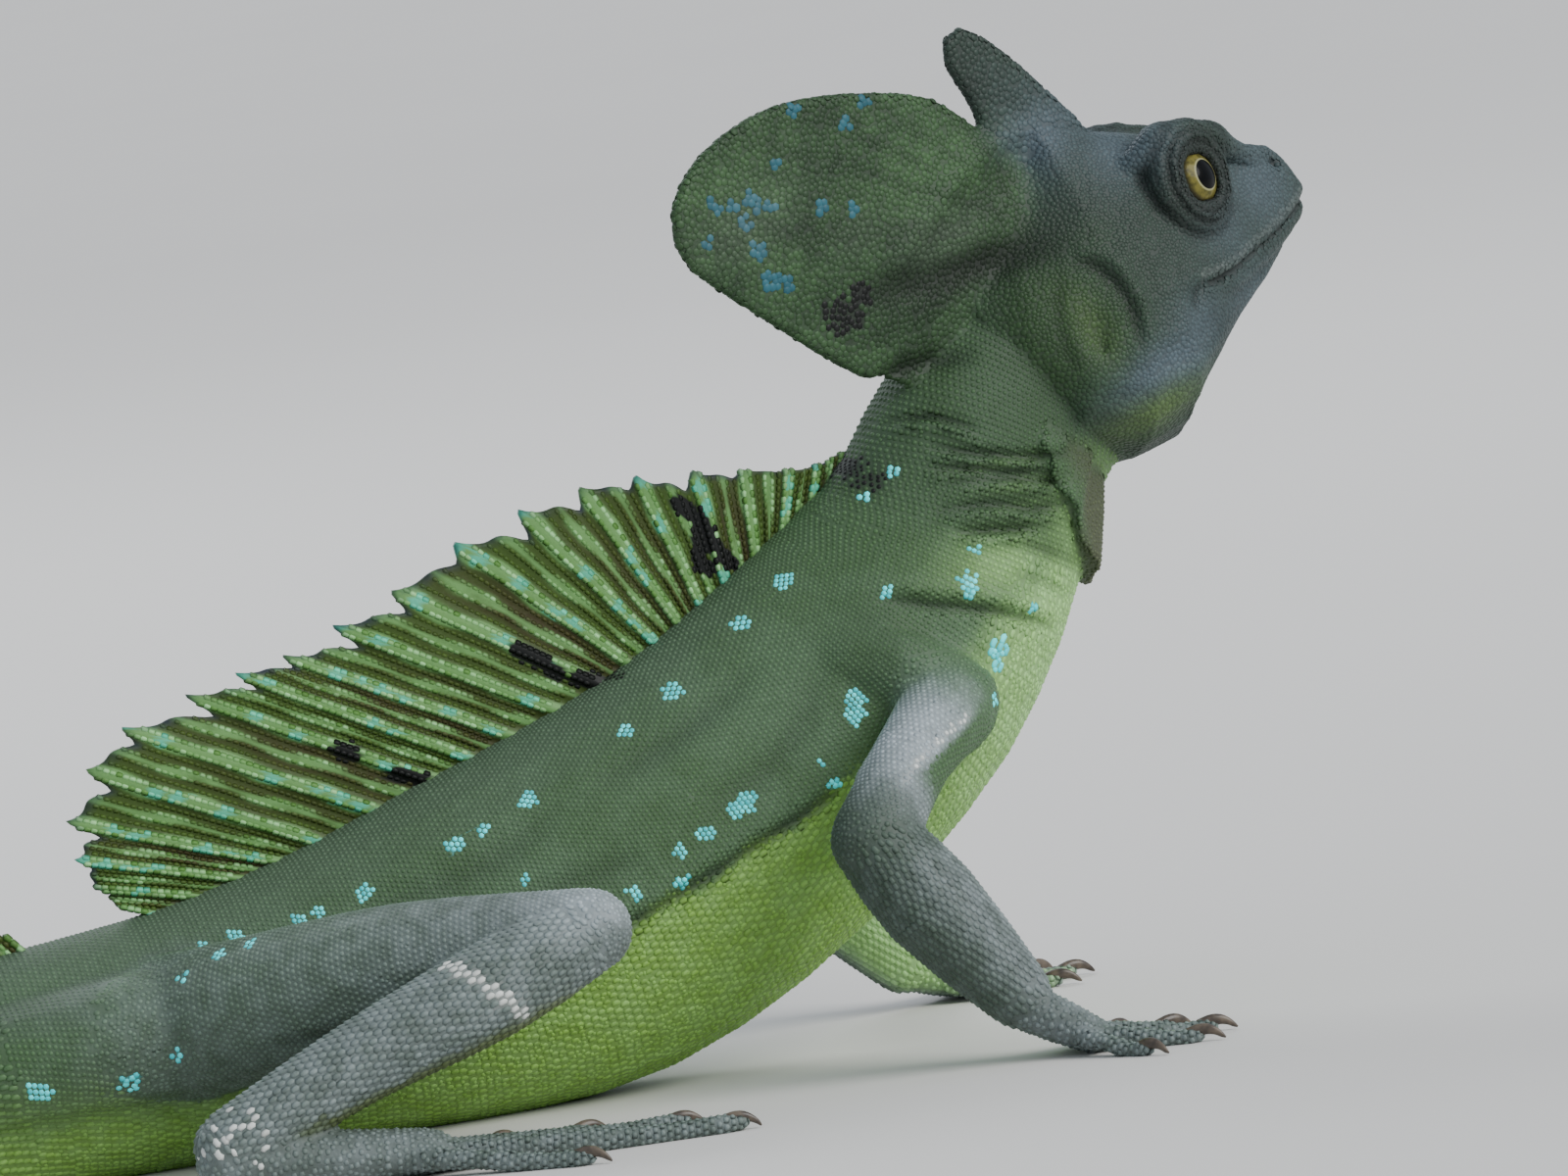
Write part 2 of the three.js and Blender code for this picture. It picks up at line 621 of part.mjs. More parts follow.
function limb(stations, side, grow = 0, sides = 12, up = UP) {
  const placed = stations.map(([x, y, z, r]) => [x, side === RIGHT ? y : -y, z, r, r, r]);
  return new Loft(placed, up).solid({ sides, spacing: 8, grow, domeStart: true, domeEnd: true });
}

// A digit with its claw, from a knuckle on the ground.
function digit(knuckle, heading, length, radius, side) {
  const turn = THREE.MathUtils.degToRad(side === RIGHT ? heading : -heading);
  const ahead = new THREE.Vector3(Math.cos(turn), Math.sin(turn), 0);
  const at = (share, height) => {
    const p = new THREE.Vector3(...knuckle).addScaledVector(ahead, share * length);
    return [p.x, p.y, height];
  };
  const low = radius * 0.68;
  const toe = new Loft([
    [...at(-0.12, knuckle[2]), radius, radius, radius],
    [...at(0.3, low + 1.1), radius * 0.9, radius * 0.9, radius * 0.9],
    [...at(0.7, low), radius * 0.8, radius * 0.8, radius * 0.8],
    [...at(1, low), radius * 0.7, radius * 0.7, radius * 0.7],
  ]).solid({ sides: 5, spacing: 30 });
  const hook = (reach, height, size) => {
    const p = new THREE.Vector3(...at(1, height)).addScaledVector(ahead, reach * CLAW.length);
    return [p.x, p.y, p.z, size * 0.7, size, size];
  };
  const claw = new Loft([
    hook(-0.2, low + 0.3, CLAW.radius),
    hook(0.4, low + 0.7, CLAW.radius * 0.8),
    hook(0.8, low, CLAW.radius * 0.5),
    hook(1, 0.35, CLAW.radius * 0.22),
  ]).solid({ sides: 4, spacing: 9 });
  return toe.add(claw);
}

function paw({ from, to, wide, thick }, digits, side) {
  const flip = ([x, y, z]) => [x, side === RIGHT ? y : -y, z];
  const pad = new Loft([
    [...flip(from), thick * 1.1, thick, thick],
    [...flip(from.map((value, i) => (value + to[i]) / 2)), (wide + thick) / 2, thick, thick],
    [...flip(to), wide, thick * 0.8, thick * 0.9],
  ]).solid({ sides: 10, spacing: 20, domeStart: true, domeEnd: true });
  const knuckles = digits.map(([heading, length, radius], i) => {
    const share = digits.length / 2 - 0.5 - i;
    const [x, y] = flip([to[0] + 2 - Math.abs(share) * 1.6, to[1] + share * wide * 0.42, 0]);
    return digit([x, y, to[2] * 0.9], heading, length, radius, side);
  });
  return join([pad, ...knuckles]);
}

function buildForeleg(side, label, arm, palm) {
  const upper = [arm.shoulder, arm.socket, arm.upper, arm.elbow];
  const lower = [arm.elbow, arm.lower, arm.wrist];
  const upperArm = limb(upper, side).subtract(bodyGrown);
  const forearm = limb(lower, side, 0, 12, new THREE.Vector3(1, 0, 0)).subtract(limb(upper, side, GAP)).subtract(bodyGrown);
  const forearmGrown = limb(lower, side, GAP, 12, new THREE.Vector3(1, 0, 0));
  const hand = paw(palm, FINGERS, side).subtract(forearmGrown).subtract(floor);
  basilisk.add(meshOf(`upper_arm_${label}`, upperArm, SLATE));
  basilisk.add(meshOf(`forearm_${label}`, forearm.subtract(floor), SLATE));
  basilisk.add(meshOf(`hand_${label}`, hand, SLATE));
}

function buildHindleg(side, label) {
  const upper = [LEG.hip, LEG.socket, LEG.thigh, LEG.knee];
  const lower = [LEG.knee, LEG.calf, LEG.shank, LEG.ankle];
  const thigh = limb(upper, side, 0, 14).subtract(bodyGrown);
  const shank = limb(lower, side).subtract(limb(upper, side, GAP, 14)).subtract(bodyGrown);
  const foot = paw(FOOT, TOES, side).subtract(limb(lower, side, GAP)).subtract(floor);
  basilisk.add(meshOf(`thigh_${label}`, thigh.subtract(floor), SLATE));
  basilisk.add(meshOf(`shank_${label}`, shank.subtract(floor), SLATE));
  basilisk.add(meshOf(`foot_${label}`, foot, SLATE));
}

buildTorso();
buildTail();
buildNeck();
buildHead();
buildHeadCrests();
buildBodyCrests();
buildForeleg(RIGHT, "right", ARM, PALM);
buildForeleg(LEFT, "left", FAR_ARM, FAR_PALM);
buildHindleg(RIGHT, "right");
buildHindleg(LEFT, "left");
basilisk.add(head);

export default basilisk;
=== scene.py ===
# %% [markdown]
# # A green basilisk, from solids to living skin
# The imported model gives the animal's size, place and pose: thirty plain solids that stand a little apart.
# This lesson dresses them. One skin replaces all the flesh, and then come the scales, the two fin crests,
# the eyes and the claws, each a piece of its own. All sizes here are in millimetres, as the solids' are,
# and a mesh is turned into Blender's metres only when it is made.

# %% Load the frame
import math
import time

import bmesh
import bpy
import numpy as np
from mathutils import Matrix, Vector
from mathutils.bvhtree import BVHTree
from mathutils.kdtree import KDTree


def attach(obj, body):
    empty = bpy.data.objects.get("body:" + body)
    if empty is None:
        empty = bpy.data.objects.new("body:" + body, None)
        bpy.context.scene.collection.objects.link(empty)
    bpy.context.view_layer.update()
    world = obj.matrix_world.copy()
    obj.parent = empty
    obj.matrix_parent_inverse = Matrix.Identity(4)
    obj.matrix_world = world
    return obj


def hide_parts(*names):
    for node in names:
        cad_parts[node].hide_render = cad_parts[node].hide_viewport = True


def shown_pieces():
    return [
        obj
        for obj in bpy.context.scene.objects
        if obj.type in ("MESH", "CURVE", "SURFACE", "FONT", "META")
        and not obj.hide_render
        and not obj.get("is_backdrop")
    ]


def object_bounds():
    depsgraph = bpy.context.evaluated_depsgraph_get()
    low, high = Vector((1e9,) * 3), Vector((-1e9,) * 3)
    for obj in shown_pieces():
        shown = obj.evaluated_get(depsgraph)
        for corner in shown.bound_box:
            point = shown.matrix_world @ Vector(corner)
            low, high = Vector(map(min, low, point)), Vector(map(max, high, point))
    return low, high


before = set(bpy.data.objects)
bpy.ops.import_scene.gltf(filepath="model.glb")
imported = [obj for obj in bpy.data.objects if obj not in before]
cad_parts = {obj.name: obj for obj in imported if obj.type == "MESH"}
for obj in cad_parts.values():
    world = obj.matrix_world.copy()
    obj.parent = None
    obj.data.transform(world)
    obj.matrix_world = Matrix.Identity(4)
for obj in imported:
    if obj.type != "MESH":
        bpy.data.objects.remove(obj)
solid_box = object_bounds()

MM = 0.001
RIGHT, LEFT = -1, 1
BOTH = ((RIGHT, "right"), (LEFT, "left"))
UP = np.array([0.0, 0.0, 1.0])
chance = np.random.default_rng(11)
started = time.time()


def passed():
    return f"after {time.time() - started:.1f} s"


def in_scene(name, data):
    """A new object with this data, linked to the scene."""
    piece = bpy.data.objects.new(name, data)
    bpy.context.scene.collection.objects.link(piece)
    return piece


print("solids:", len(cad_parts), "box in mm:", [round(v * 1000) for v in solid_box[1] - solid_box[0]])

# %% [markdown]
# ## The camera
# The photograph looks at the animal's right side from slightly behind square and slightly above, with a
# long lens. The model rests on a level floor, so the camera is rolled to lay the body at the photograph's
# slant. The camera comes first, because every later look is judged through it.

# %% Camera
VIEW = {"turn": -12, "raised": 5, "roll": 8, "distance": 1600, "lens": 252, "sensor": 36, "sight": 20}
LOOKS_AT = np.array([59.3646, 0, 68.8043])


def place_camera():
    turn, raised, roll = (math.radians(VIEW[key]) for key in ("turn", "raised", "roll"))
    away = np.array([math.sin(turn) * math.cos(raised), -math.cos(turn) * math.cos(raised), math.sin(raised)])
    level = np.array([math.cos(turn), math.sin(turn), 0])
    upright = np.cross(away, level)
    across = level * math.cos(roll) - upright * math.sin(roll)
    upward = upright * math.cos(roll) + level * math.sin(roll)
    camera = in_scene("camera", bpy.data.cameras.new("camera"))
    camera.data.lens = VIEW["lens"]
    camera.data.sensor_width = VIEW["sensor"]
    camera.data.clip_end = VIEW["sight"]
    place = Matrix(np.column_stack([across, upward, away]).tolist()).to_4x4()
    place.translation = (LOOKS_AT + away * VIEW["distance"]) * MM
    camera.matrix_world = place
    bpy.context.scene.camera = camera
    return camera


print("camera at", [round(v, 3) for v in place_camera().matrix_world.translation])

# %% [markdown]
# ## Sizes of the body
# The trunk and tail follow one spine. Each station gives its place and how far the body reaches to the
# sides, above and below it. Limbs are chains of points with a radius, given for the right side; the left
# side mirrors them. These are the same driving sizes as the solids', and here they serve to lay scales
# in rows round the body, and to root the crests.

# %% Spine, limbs and head
# Each station of the spine: x, y, z, then the reach to either side, above and below.
SPINE = np.array([
    [-655, -4, 0.5, 0.6, 0.6, 0.6], [-610, 2, 1.1, 1.1, 1.2, 1.2], [-540, 15, 1.7, 1.7, 1.8, 1.8],
    [-460, 29, 2.5, 2.3, 2.7, 2.7], [-380, 36, 3.5, 3.1, 3.8, 3.7], [-300, 32, 4.8, 3.9, 5.1, 5.0],
    [-230, 21, 6.5, 4.8, 6.9, 6.7], [-170, 10, 8.6, 6.0, 9.0, 8.8], [-125, 4, 11.0, 7.6, 11.6, 11.2],
    [-90, 1, 13.9, 9.6, 14.2, 14.1], [-63, 0, 17.6, 12.2, 16.4, 17.8], [-42, 0, 18.6, 14.8, 17.6, 18.9],
    [-16.5, 0, 20.8, 17.4, 21.2, 21.2], [6, 0, 24.4, 19.0, 25.0, 25.2], [24.5, 0, 28.6, 19.6, 26.8, 27.2],
    [42.3, 0, 35.8, 19.2, 26.6, 26.4], [59.6, 0, 46.2, 18.2, 26.0, 24.8], [73, 0, 56.5, 16.8, 25.0, 22.8],
    [82.3, 0, 67.0, 15.0, 22.8, 20.4], [87.2, 0.4, 76.0, 13.2, 20.2, 19.8], [90.6, 1, 84.0, 12.4, 17.8, 20.2],
    [94.6, 2, 91.0, 12.0, 15.6, 21.2], [100, 3.2, 98.0, 10.6, 13.0, 18.0], [107, 5, 104.0, 8.0, 10.0, 11.0],
])
# Each station of a limb: x, y, z and the radius. The far foreleg reaches a little lower.
ARM = [[79, -9, 49, 7.6], [76.5, -18.5, 49.2, 6.8], [68.5, -28.5, 44.2, 5.6], [59.4, -36.2, 34.4, 6.0]]
FOREARM = [[59.4, -36.2, 34.4, 6.0], [66, -38.2, 24.2, 7.2], [76.2, -40.4, 9.8, 4.8]]
FAR_ARM = ARM[:3] + [[59, -34.6, 31.6, 6.0]]
FAR_FOREARM = [[59, -34.6, 31.6, 6.0], [67, -35.6, 20.4, 7.2], [77.2, -37.4, 7.4, 4.8]]
THIGH = [[-42, -6, 20, 11.0], [-33, -18, 22.5, 10.4], [-10, -36, 27.5, 8.8], [14.4, -48.5, 29.6, 5.9]]
SHANK = [[14.4, -48.5, 29.6, 5.9], [-1, -51, 23.9, 6.7], [-22, -51.5, 16.6, 5.6], [-41, -51, 8.2, 4.9]]
# Each digit: its heading in degrees, its length and its radius.
FINGERS = [[32, 9, 1.5], [12, 13, 1.5], [-8, 15.5, 1.5], [-28, 15, 1.5], [-56, 11, 1.4]]
TOES = [[26, 15, 1.7], [12, 24, 1.7], [0, 34, 1.8], [-10, 42, 1.8], [-34, 24, 1.6]]
PALM = {"from": [77.5, -41.2, 7.4], "to": [85, -42.5, 2.9], "wide": 6.2, "thick": 3.4, "digits": FINGERS}
FAR_PALM = {**PALM, "from": [78.6, -38, 5.8], "to": [86, -39.4, 2.9]}
FOOT = {"from": [-42, -51, 6], "to": [-14, -53, 3.2], "wide": 5.8, "thick": 4.0, "digits": TOES}
CLAW = {"length": 4.2, "radius": 1.0}
KNUCKLES = {"ahead": 2, "arch": 1.6, "apart": 0.42}
HEAD = {"at": np.array([107.1, 4, 99.8]), "turn": math.radians(22), "tip": math.radians(20)}
EYE = {"at": (24.0, 7.2, 10.6), "radius": 5.4, "out": 0.4, "tall": 1.07,
       "forward": math.radians(18), "raised": math.radians(6)}


def head_axes():
    """The ways forward along the jaws, to the left and up, as the head is held."""
    turn, tip = HEAD["turn"], HEAD["tip"]
    forward = np.array([math.cos(tip) * math.cos(turn), math.cos(tip) * math.sin(turn), math.sin(tip)])
    leftward = np.array([-math.sin(turn), math.cos(turn), 0])
    return np.stack([forward, leftward, np.cross(forward, leftward)])


def head_place(points):
    """Places in the head's own frame, x forward along the jaws and z up, turned into the animal's."""
    return HEAD["at"] + np.atleast_2d(points) @ head_axes()


def to_head(points):
    return (points - HEAD["at"]) @ head_axes().T


def smooth_line(stations, share):
    """A curve through stations, even where they are unevenly spaced; share counts stations from 0."""
    stations = np.asarray(stations, float)
    share = np.atleast_1d(np.asarray(share, float))
    last = len(stations) - 1
    share = np.clip(share, 0, last)
    start = np.minimum(share.astype(int), last - 1)
    padded = np.vstack([2 * stations[0] - stations[1], stations, 2 * stations[-1] - stations[-2]])
    p = [padded[start + k] for k in range(4)]
    gap = [np.maximum(((p[k + 1][:, :3] - p[k][:, :3]) ** 2).sum(1), 1e-9)[:, None] ** 0.25 for k in range(3)]
    leave = (p[1] - p[0]) / gap[0] - (p[2] - p[0]) / (gap[0] + gap[1]) + (p[2] - p[1]) / gap[1]
    reach = (p[2] - p[1]) / gap[1] - (p[3] - p[1]) / (gap[1] + gap[2]) + (p[3] - p[2]) / gap[2]
    leave, reach = leave * gap[1], reach * gap[1]
    w = (share - start)[:, None]
    bend = -3 * p[1] + 3 * p[2] - 2 * leave - reach
    close = 2 * p[1] - 2 * p[2] + leave + reach
    return p[1] + leave * w + bend * w**2 + close * w**3


def unit(vectors):
    return vectors / np.maximum(np.linalg.norm(vectors, axis=-1, keepdims=True), 1e-12)


def line_axes(stations, share, up=UP, step=0.02):
    """Middle, ahead, side and top along a chain of stations."""
    behind, middle, before = (smooth_line(stations, share + off)[:, :3] for off in (-step, 0, step))
    ahead = unit(before - behind)
    side = unit(np.cross(up, ahead))
    return middle, ahead, side, np.cross(ahead, side)


def for_side(points, side):
    """A chain given for the right side, or its mirror for the left."""
    flipped = np.array(points, float)
    if side == LEFT:
        flipped[:, 1] *= -1
    return flipped


def digit_line(paw, index, side):
    """The five stations of one digit, from knuckle to tip, each a place and a radius."""
    heading, length, radius = paw["digits"][index]
    turn = math.radians(heading)
    ahead = np.array([math.cos(turn), math.sin(turn)])
    share = len(paw["digits"]) / 2 - 0.5 - index
    x, y, top = paw["to"]
    knuckle = np.array([x + KNUCKLES["ahead"] - abs(share) * KNUCKLES["arch"],
                        y + share * paw["wide"] * KNUCKLES["apart"]])
    low = radius * 0.68
    rows = [(-0.12, top * 0.9, 1), (0.3, low + 1.1, 0.9), (0.7, low, 0.8), (1, low, 0.72), (1.04, low, 0.6)]
    line = [[*(knuckle + ahead * length * at), height, radius * size] for at, height, size in rows]
    return for_side(line, side)


LIMBS = {}
for (side, label), arm, forearm in zip(BOTH, (ARM, FAR_ARM), (FOREARM, FAR_FOREARM)):
    for bone, stations in (("upper_arm", arm), ("forearm", forearm), ("thigh", THIGH), ("shank", SHANK)):
        LIMBS[f"{bone}_{label}"] = for_side(stations, side)
PAWS = [("hand_right", PALM, RIGHT), ("hand_left", FAR_PALM, LEFT),
        ("foot_right", FOOT, RIGHT), ("foot_left", FOOT, LEFT)]
print("limbs:", ", ".join(LIMBS), "and", sum(len(paw["digits"]) for _, paw, _ in PAWS), "digits")

# %% [markdown]
# ## One skin
# The real skin runs on from head to tail with no seam. The solids stop short of each other, so copies of
# them are swollen by a fraction of a millimetre until they meet, and joined with rounder paws and with
# the rolls of skin that ring each eye. A voxel remesh melts all of it into one closed surface. It leaves
# small steps and the solids' facets, which relaxing takes out: each point moves towards its neighbours,
# then a little back, so that the body keeps its bulk.

# %% Closed shapes for the paws and the rings round the eyes
TUBE_SIDES = 14
# The rings of a domed end: how far out each lies and how wide it is.
DOME = [(0.5, 0.87), (0.85, 0.53)]


def closed_tube(centres, wide, high, sides=TUBE_SIDES):
    """Points and faces of a tube with domed ends; wide and high are its radii at each centre."""
    centres, wide, high = (np.asarray(values, float) for values in (centres, wide, high))
    ahead = unit(np.gradient(centres, axis=0))
    side = unit(np.cross(UP, ahead))
    top = np.cross(ahead, side)
    bend = np.linspace(0, 2 * np.pi, sides, endpoint=False)[:, None]
    around = [s * np.cos(bend) * w + t * np.sin(bend) * h for s, t, w, h in zip(side, top, wide, high)]
    rings = [centre + ray for centre, ray in zip(centres, around)]
    tips = []
    for end, way in ((0, -ahead[0]), (-1, ahead[-1])):
        reach = (wide[end] + high[end]) / 2
        dome = [centres[end] + way * reach * out + around[end] * size for out, size in DOME]
        rings = rings + dome if end else dome[::-1] + rings
        tips.append(centres[end] + way * reach)
    points = np.vstack([*rings, *tips])
    count = len(rings)
    faces = []
    for r in range(count - 1):
        for k in range(sides):
            n = (k + 1) % sides
            faces.append((r * sides + k, r * sides + n, (r + 1) * sides + n, (r + 1) * sides + k))
    for k in range(sides):
        n = (k + 1) % sides
        faces.append((count * sides, n, k))
        faces.append((count * sides + 1, (count - 1) * sides + k, (count - 1) * sides + n))
    return points, faces


def eye_frame(side):
    """One eye in the head's own frame: its middle, then the ways it looks out, across and up."""
    forward, raised = EYE["forward"], EYE["raised"]
    flat = math.cos(raised)
    way = np.array([math.sin(forward) * flat, side * math.cos(forward) * flat, math.sin(raised)])
    across = unit(np.cross(UP, way))
    return np.array(EYE["at"]) * [1, side, 1], way, across, np.cross(way, across)


def eye_ring(side, radius, out, roll, sides=10, steps=40):
    """A closed roll of skin round one eye."""
    middle, way, across, upward = eye_frame(side)
    points, faces = [], []
    for i in range(steps):
        a = 2 * math.pi * i / steps
        ray = across * math.cos(a) + upward * math.sin(a) * EYE["tall"]
        for k in range(sides):
            b = 2 * math.pi * k / sides
            points.append(middle + way * (out + roll * math.sin(b)) + ray * (radius + roll * math.cos(b)))
    for i in range(steps):
        for k in range(sides):
            j, m = (i + 1) % steps, (k + 1) % sides
            faces.append((i * sides + k, j * sides + k, j * sides + m, i * sides + m))
    return head_place(points), faces


# %% Gather the flesh and melt it together
FLESH = ["pelvis", "abdomen", "chest", "tail_1", "tail_2", "tail_3", "tail_4", "tail_5", "neck",
         "throat_fold", "head", "lower_jaw", "crest_front", "crest_rear", *LIMBS]
SWELL = 0.24
VOXEL = 0.56
WELD = 0.001
# Each roll round an eye: its radius, how far out it lies and how thick it is.
EYE_ROLLS = [(4.5, 3.5, 0.5), (5.75, 3.4, 0.95), (7.1, 2.5, 1.15)]
# Soft rolls that carry the hip, the thigh and the arm over into the trunk: x, y, z and the radius.
MUSCLES = [
    [[-34, -15, 21.5, 9.5], [-52, -11, 20, 9.5], [-72, -6.5, 18, 8.5], [-98, -2, 14.5, 7]],
    [[-24, -18, 22, 8], [-12, -14, 24, 8], [4, -10, 26, 7]],
    [[78, -15, 50, 7.5], [72, -12.5, 55, 7.5], [64, -10, 58, 7]],
]
DIGIT_STEPS = np.linspace(0, 4, 13)
KNOBS = 1 + 0.08 * np.sin(DIGIT_STEPS * 2 * np.pi * 0.75)


def add_shape(cloth, points, faces):
    made = [cloth.verts.new(Vector(p) * MM) for p in points]
    for face in faces:
        cloth.faces.new([made[k] for k in face])


def paw_shapes():
    for _, paw, side in PAWS:
        wide, thick = paw["wide"], paw["thick"]
        ends = for_side([paw["from"], [(a + b) / 2 for a, b in zip(paw["from"], paw["to"])], paw["to"]], side)
        yield closed_tube(ends, [thick * 1.1, (wide + thick) / 2, wide], [thick, thick * 0.95, thick * 0.8])
        for index in range(len(paw["digits"])):
            line = smooth_line(digit_line(paw, index, side), DIGIT_STEPS)
            yield closed_tube(line[:, :3], line[:, 3] * KNOBS, line[:, 3] * KNOBS)


def muscle_shapes():
    for chain in MUSCLES:
        for side in (RIGHT, LEFT):
            line = smooth_line(for_side(chain, side), np.linspace(0, len(chain) - 1, 9))
            yield closed_tube(line[:, :3], line[:, 3], line[:, 3])


def melted_flesh():
    cloth = bmesh.new()
    for name in FLESH:
        cloth.from_mesh(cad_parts[name].data)
    bmesh.ops.remove_doubles(cloth, verts=cloth.verts, dist=WELD * MM)
    cloth.normal_update()
    for v in cloth.verts:
        v.co += v.normal * SWELL * MM
    for points, faces in (*paw_shapes(), *muscle_shapes()):
        add_shape(cloth, points, faces)
    for side in (RIGHT, LEFT):
        for radius, out, roll in EYE_ROLLS:
            add_shape(cloth, *eye_ring(side, radius, out, roll))
    bmesh.ops.recalc_face_normals(cloth, faces=cloth.faces)
    mesh = bpy.data.meshes.new("skin")
    cloth.to_mesh(mesh)
    cloth.free()
    piece = in_scene("skin", mesh)
    melt = piece.modifiers.new("melt", "REMESH")
    melt.mode = "VOXEL"
    melt.voxel_size = VOXEL * MM
    return settle(piece)


def settle(piece):
    """Turns what a piece's modifiers make into its plain mesh."""
    graph = bpy.context.evaluated_depsgraph_get()
    mesh = bpy.data.meshes.new_from_object(piece.evaluated_get(graph), depsgraph=graph)
    piece.modifiers.clear()
    piece.data = mesh
    return piece


def read_all(items, key, width=1, kind=float):
    """One property of every item of a mesh as an array, with so many numbers to a row."""
    flat = np.empty(len(items) * width, kind)
    items.foreach_get(key, flat)
    return flat.reshape(-1, width) if width > 1 else flat


def points_of(mesh):
    return read_all(mesh.vertices, "co", 3) / MM


def normals_of(mesh):
    return read_all(mesh.vertex_normals, "vector", 3)


def edges_of(mesh):
    return read_all(mesh.edges, "vertices", 2, int)


def set_points(mesh, points):
    mesh.vertices.foreach_set("co", (points * MM).ravel())
    mesh.update()


skin = melted_flesh()
print("skin after the melt:", len(skin.data.vertices), "points,", passed())

# %% Which part of the animal each point belongs to
PARTS = FLESH + [name for name, _, _ in PAWS]


def part_finder():
    points, faces, owner = [], [], []
    for number, name in enumerate(PARTS):
        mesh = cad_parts[name].data
        start = len(points)
        points += [v.co / MM for v in mesh.vertices]
        for face in mesh.polygons:
            faces.append([start + k for k in face.vertices])
            owner.append(number)
    return BVHTree.FromPolygons(points, faces), np.array(owner)


solid_tree, solid_owner = part_finder()


def parts_at(points):
    """The number in PARTS of the solid nearest to each point."""
    return solid_owner[[solid_tree.find_nearest(p)[2] for p in points.tolist()]]


def is_part(owner, *names):
    return np.isin(owner, [k for k, part in enumerate(PARTS) if part.startswith(names)])


# %% Relax the facets and steps away
def neighbour_mean(values, edges, count):
    a, b = edges.T
    columns = values.reshape(len(values), -1)
    total = [np.bincount(a, c[b], len(c)) + np.bincount(b, c[a], len(c)) for c in columns.T]
    return (np.stack(total, 1) / count[:, None]).reshape(values.shape)


def relax(values, edges, strength, rounds, back=-0.53):
    """Evens values out over the surface; with back it moves points without shrinking the body."""
    count = np.maximum(np.bincount(edges.ravel(), minlength=len(values)), 1).astype(float)
    pull = strength if np.ndim(values) == 1 else np.reshape(strength, (-1, 1))
    for _ in range(rounds):
        for step in (0.5, back) if back else (0.5,):
            values = values + step * pull * (neighbour_mean(values, edges, count) - values)
    return values


# Places on the head, each x, y, z and a reach, where the corners of the solids are rubbed round.
SOFTENED = [(15.5, 10.5, 17.5, 4.5), (-3, 13.5, 1.4, 6), (15, 2, -21, 7), (22, 2, -17, 6),
            (1, 5, 23.5, 4.5), (0.5, 4.5, 28, 4), (-2, 6, 19, 4.5)]
melted = points_of(skin.data)
owner = parts_at(melted)
edges = edges_of(skin.data)
body_share = np.where(is_part(owner, "head", "throat_fold"), 0.45, 1.0)
body_share[is_part(owner, "crest", "hand", "foot")] = 0.55
in_head = to_head(melted)
in_head[:, 1] = np.abs(in_head[:, 1])
softened = np.zeros(len(owner))
for *place, reach in SOFTENED:
    softened = np.maximum(softened, np.exp(-((np.linalg.norm(in_head - place, axis=1) / reach) ** 2)))
shape = relax(melted, edges, np.maximum(body_share, softened), 34)
shape = relax(shape, edges, softened, 40, back=None)
firm = is_part(owner, "head", "lower_jaw", "throat_fold", "crest", "hand", "foot")
shape = relax(shape, edges, np.where(firm, 0.1, 0.9), 8, back=None)
set_points(skin.data, shape)
print("skin relaxed", passed())

# %% [markdown]
# ## Folds, lips and lids
# Relaxed skin is smooth as a balloon. What makes it an animal are its folds: the mouth line with a roll on
# each side, the pit of the ear and the nostril, the ridges over the casque, the creases across the neck,
# the long fold that parts flank from belly. Each is a line across the surface. Points near the line move
# in or out along their normals, by a depth that fades with distance, and the same line lays painted shade
# in the fold for the later paint. The lines of the head are given in the head's frame, one side's mirrored to
# the other.

# %% Lines laid on the skin
skin_tree = BVHTree.FromObject(skin, bpy.context.evaluated_depsgraph_get())


def drop_on_skin(points, way):
    """Where rays from points along one way meet the skin first, or the points themselves if they miss."""
    landed = []
    for p in points:
        hit = skin_tree.ray_cast(Vector(p) * MM, Vector(way))[0]
        landed.append(np.array(hit) / MM if hit else p)
    return np.array(landed)


def side_line(places, side, start, steps=6):
    """A curve through places (x, z) of the side view, on one side and so far out."""
    stations = [[x, 0, z] for x, z in places]
    line = smooth_line(stations, np.linspace(0, len(places) - 1, (len(places) - 1) * steps + 1))
    line[:, 1] = side * start
    return line


def head_line(places, side):
    """A line on one side of the head through places (x, z) of the head's frame."""
    return drop_on_skin(head_place(side_line(places, side, 60)), head_axes()[1] * -side)


def body_line(places, side, start=90):
    """A line on one side of the body through places (x, z), found from outside."""
    return drop_on_skin(side_line(places, side, start), [0, -side, 0])


def shifted(places, x, z):
    return [(px + x, pz + z) for px, pz in places]


def distance_to(points, line, reach):
    """The distance from each point to a line, and the share of the line where it is nearest."""
    low, high = line.min(0) - reach, line.max(0) + reach
    inside = np.where(((points > low) & (points < high)).all(1))[0]
    distance, share = np.full(len(points), 1e6), np.zeros(len(points))
    near = points[inside]
    for i in range(len(line) - 1):
        a, b = line[i], line[i + 1]
        along = b - a
        w = np.clip(((near - a) @ along) / max(along @ along, 1e-9), 0, 1)
        gap = np.linalg.norm(near - a - w[:, None] * along, axis=1)
        closer = gap < distance[inside]
        distance[inside[closer]] = gap[closer]
        share[inside[closer]] = (i + w[closer]) / (len(line) - 1)
    return distance, share


# %% Carving
FLAP_WAVES = {"middle": np.array([97.5, 2.4, 82.0]), "count": 11, "ahead": 0.55, "down": 0.35}
flap = is_part(owner, "throat_fold")
about = shape - FLAP_WAVES["middle"]
bend_of = FLAP_WAVES["count"] * np.arctan2(about[:, 1], about[:, 0] * 0.6 - about[:, 2] * 0.8)
shape[:, 0] += flap * FLAP_WAVES["ahead"] * np.sin(bend_of)
shape[:, 2] -= flap * FLAP_WAVES["down"] * np.sin(bend_of + 1)
rise, crease, bare = np.zeros((3, len(shape)))


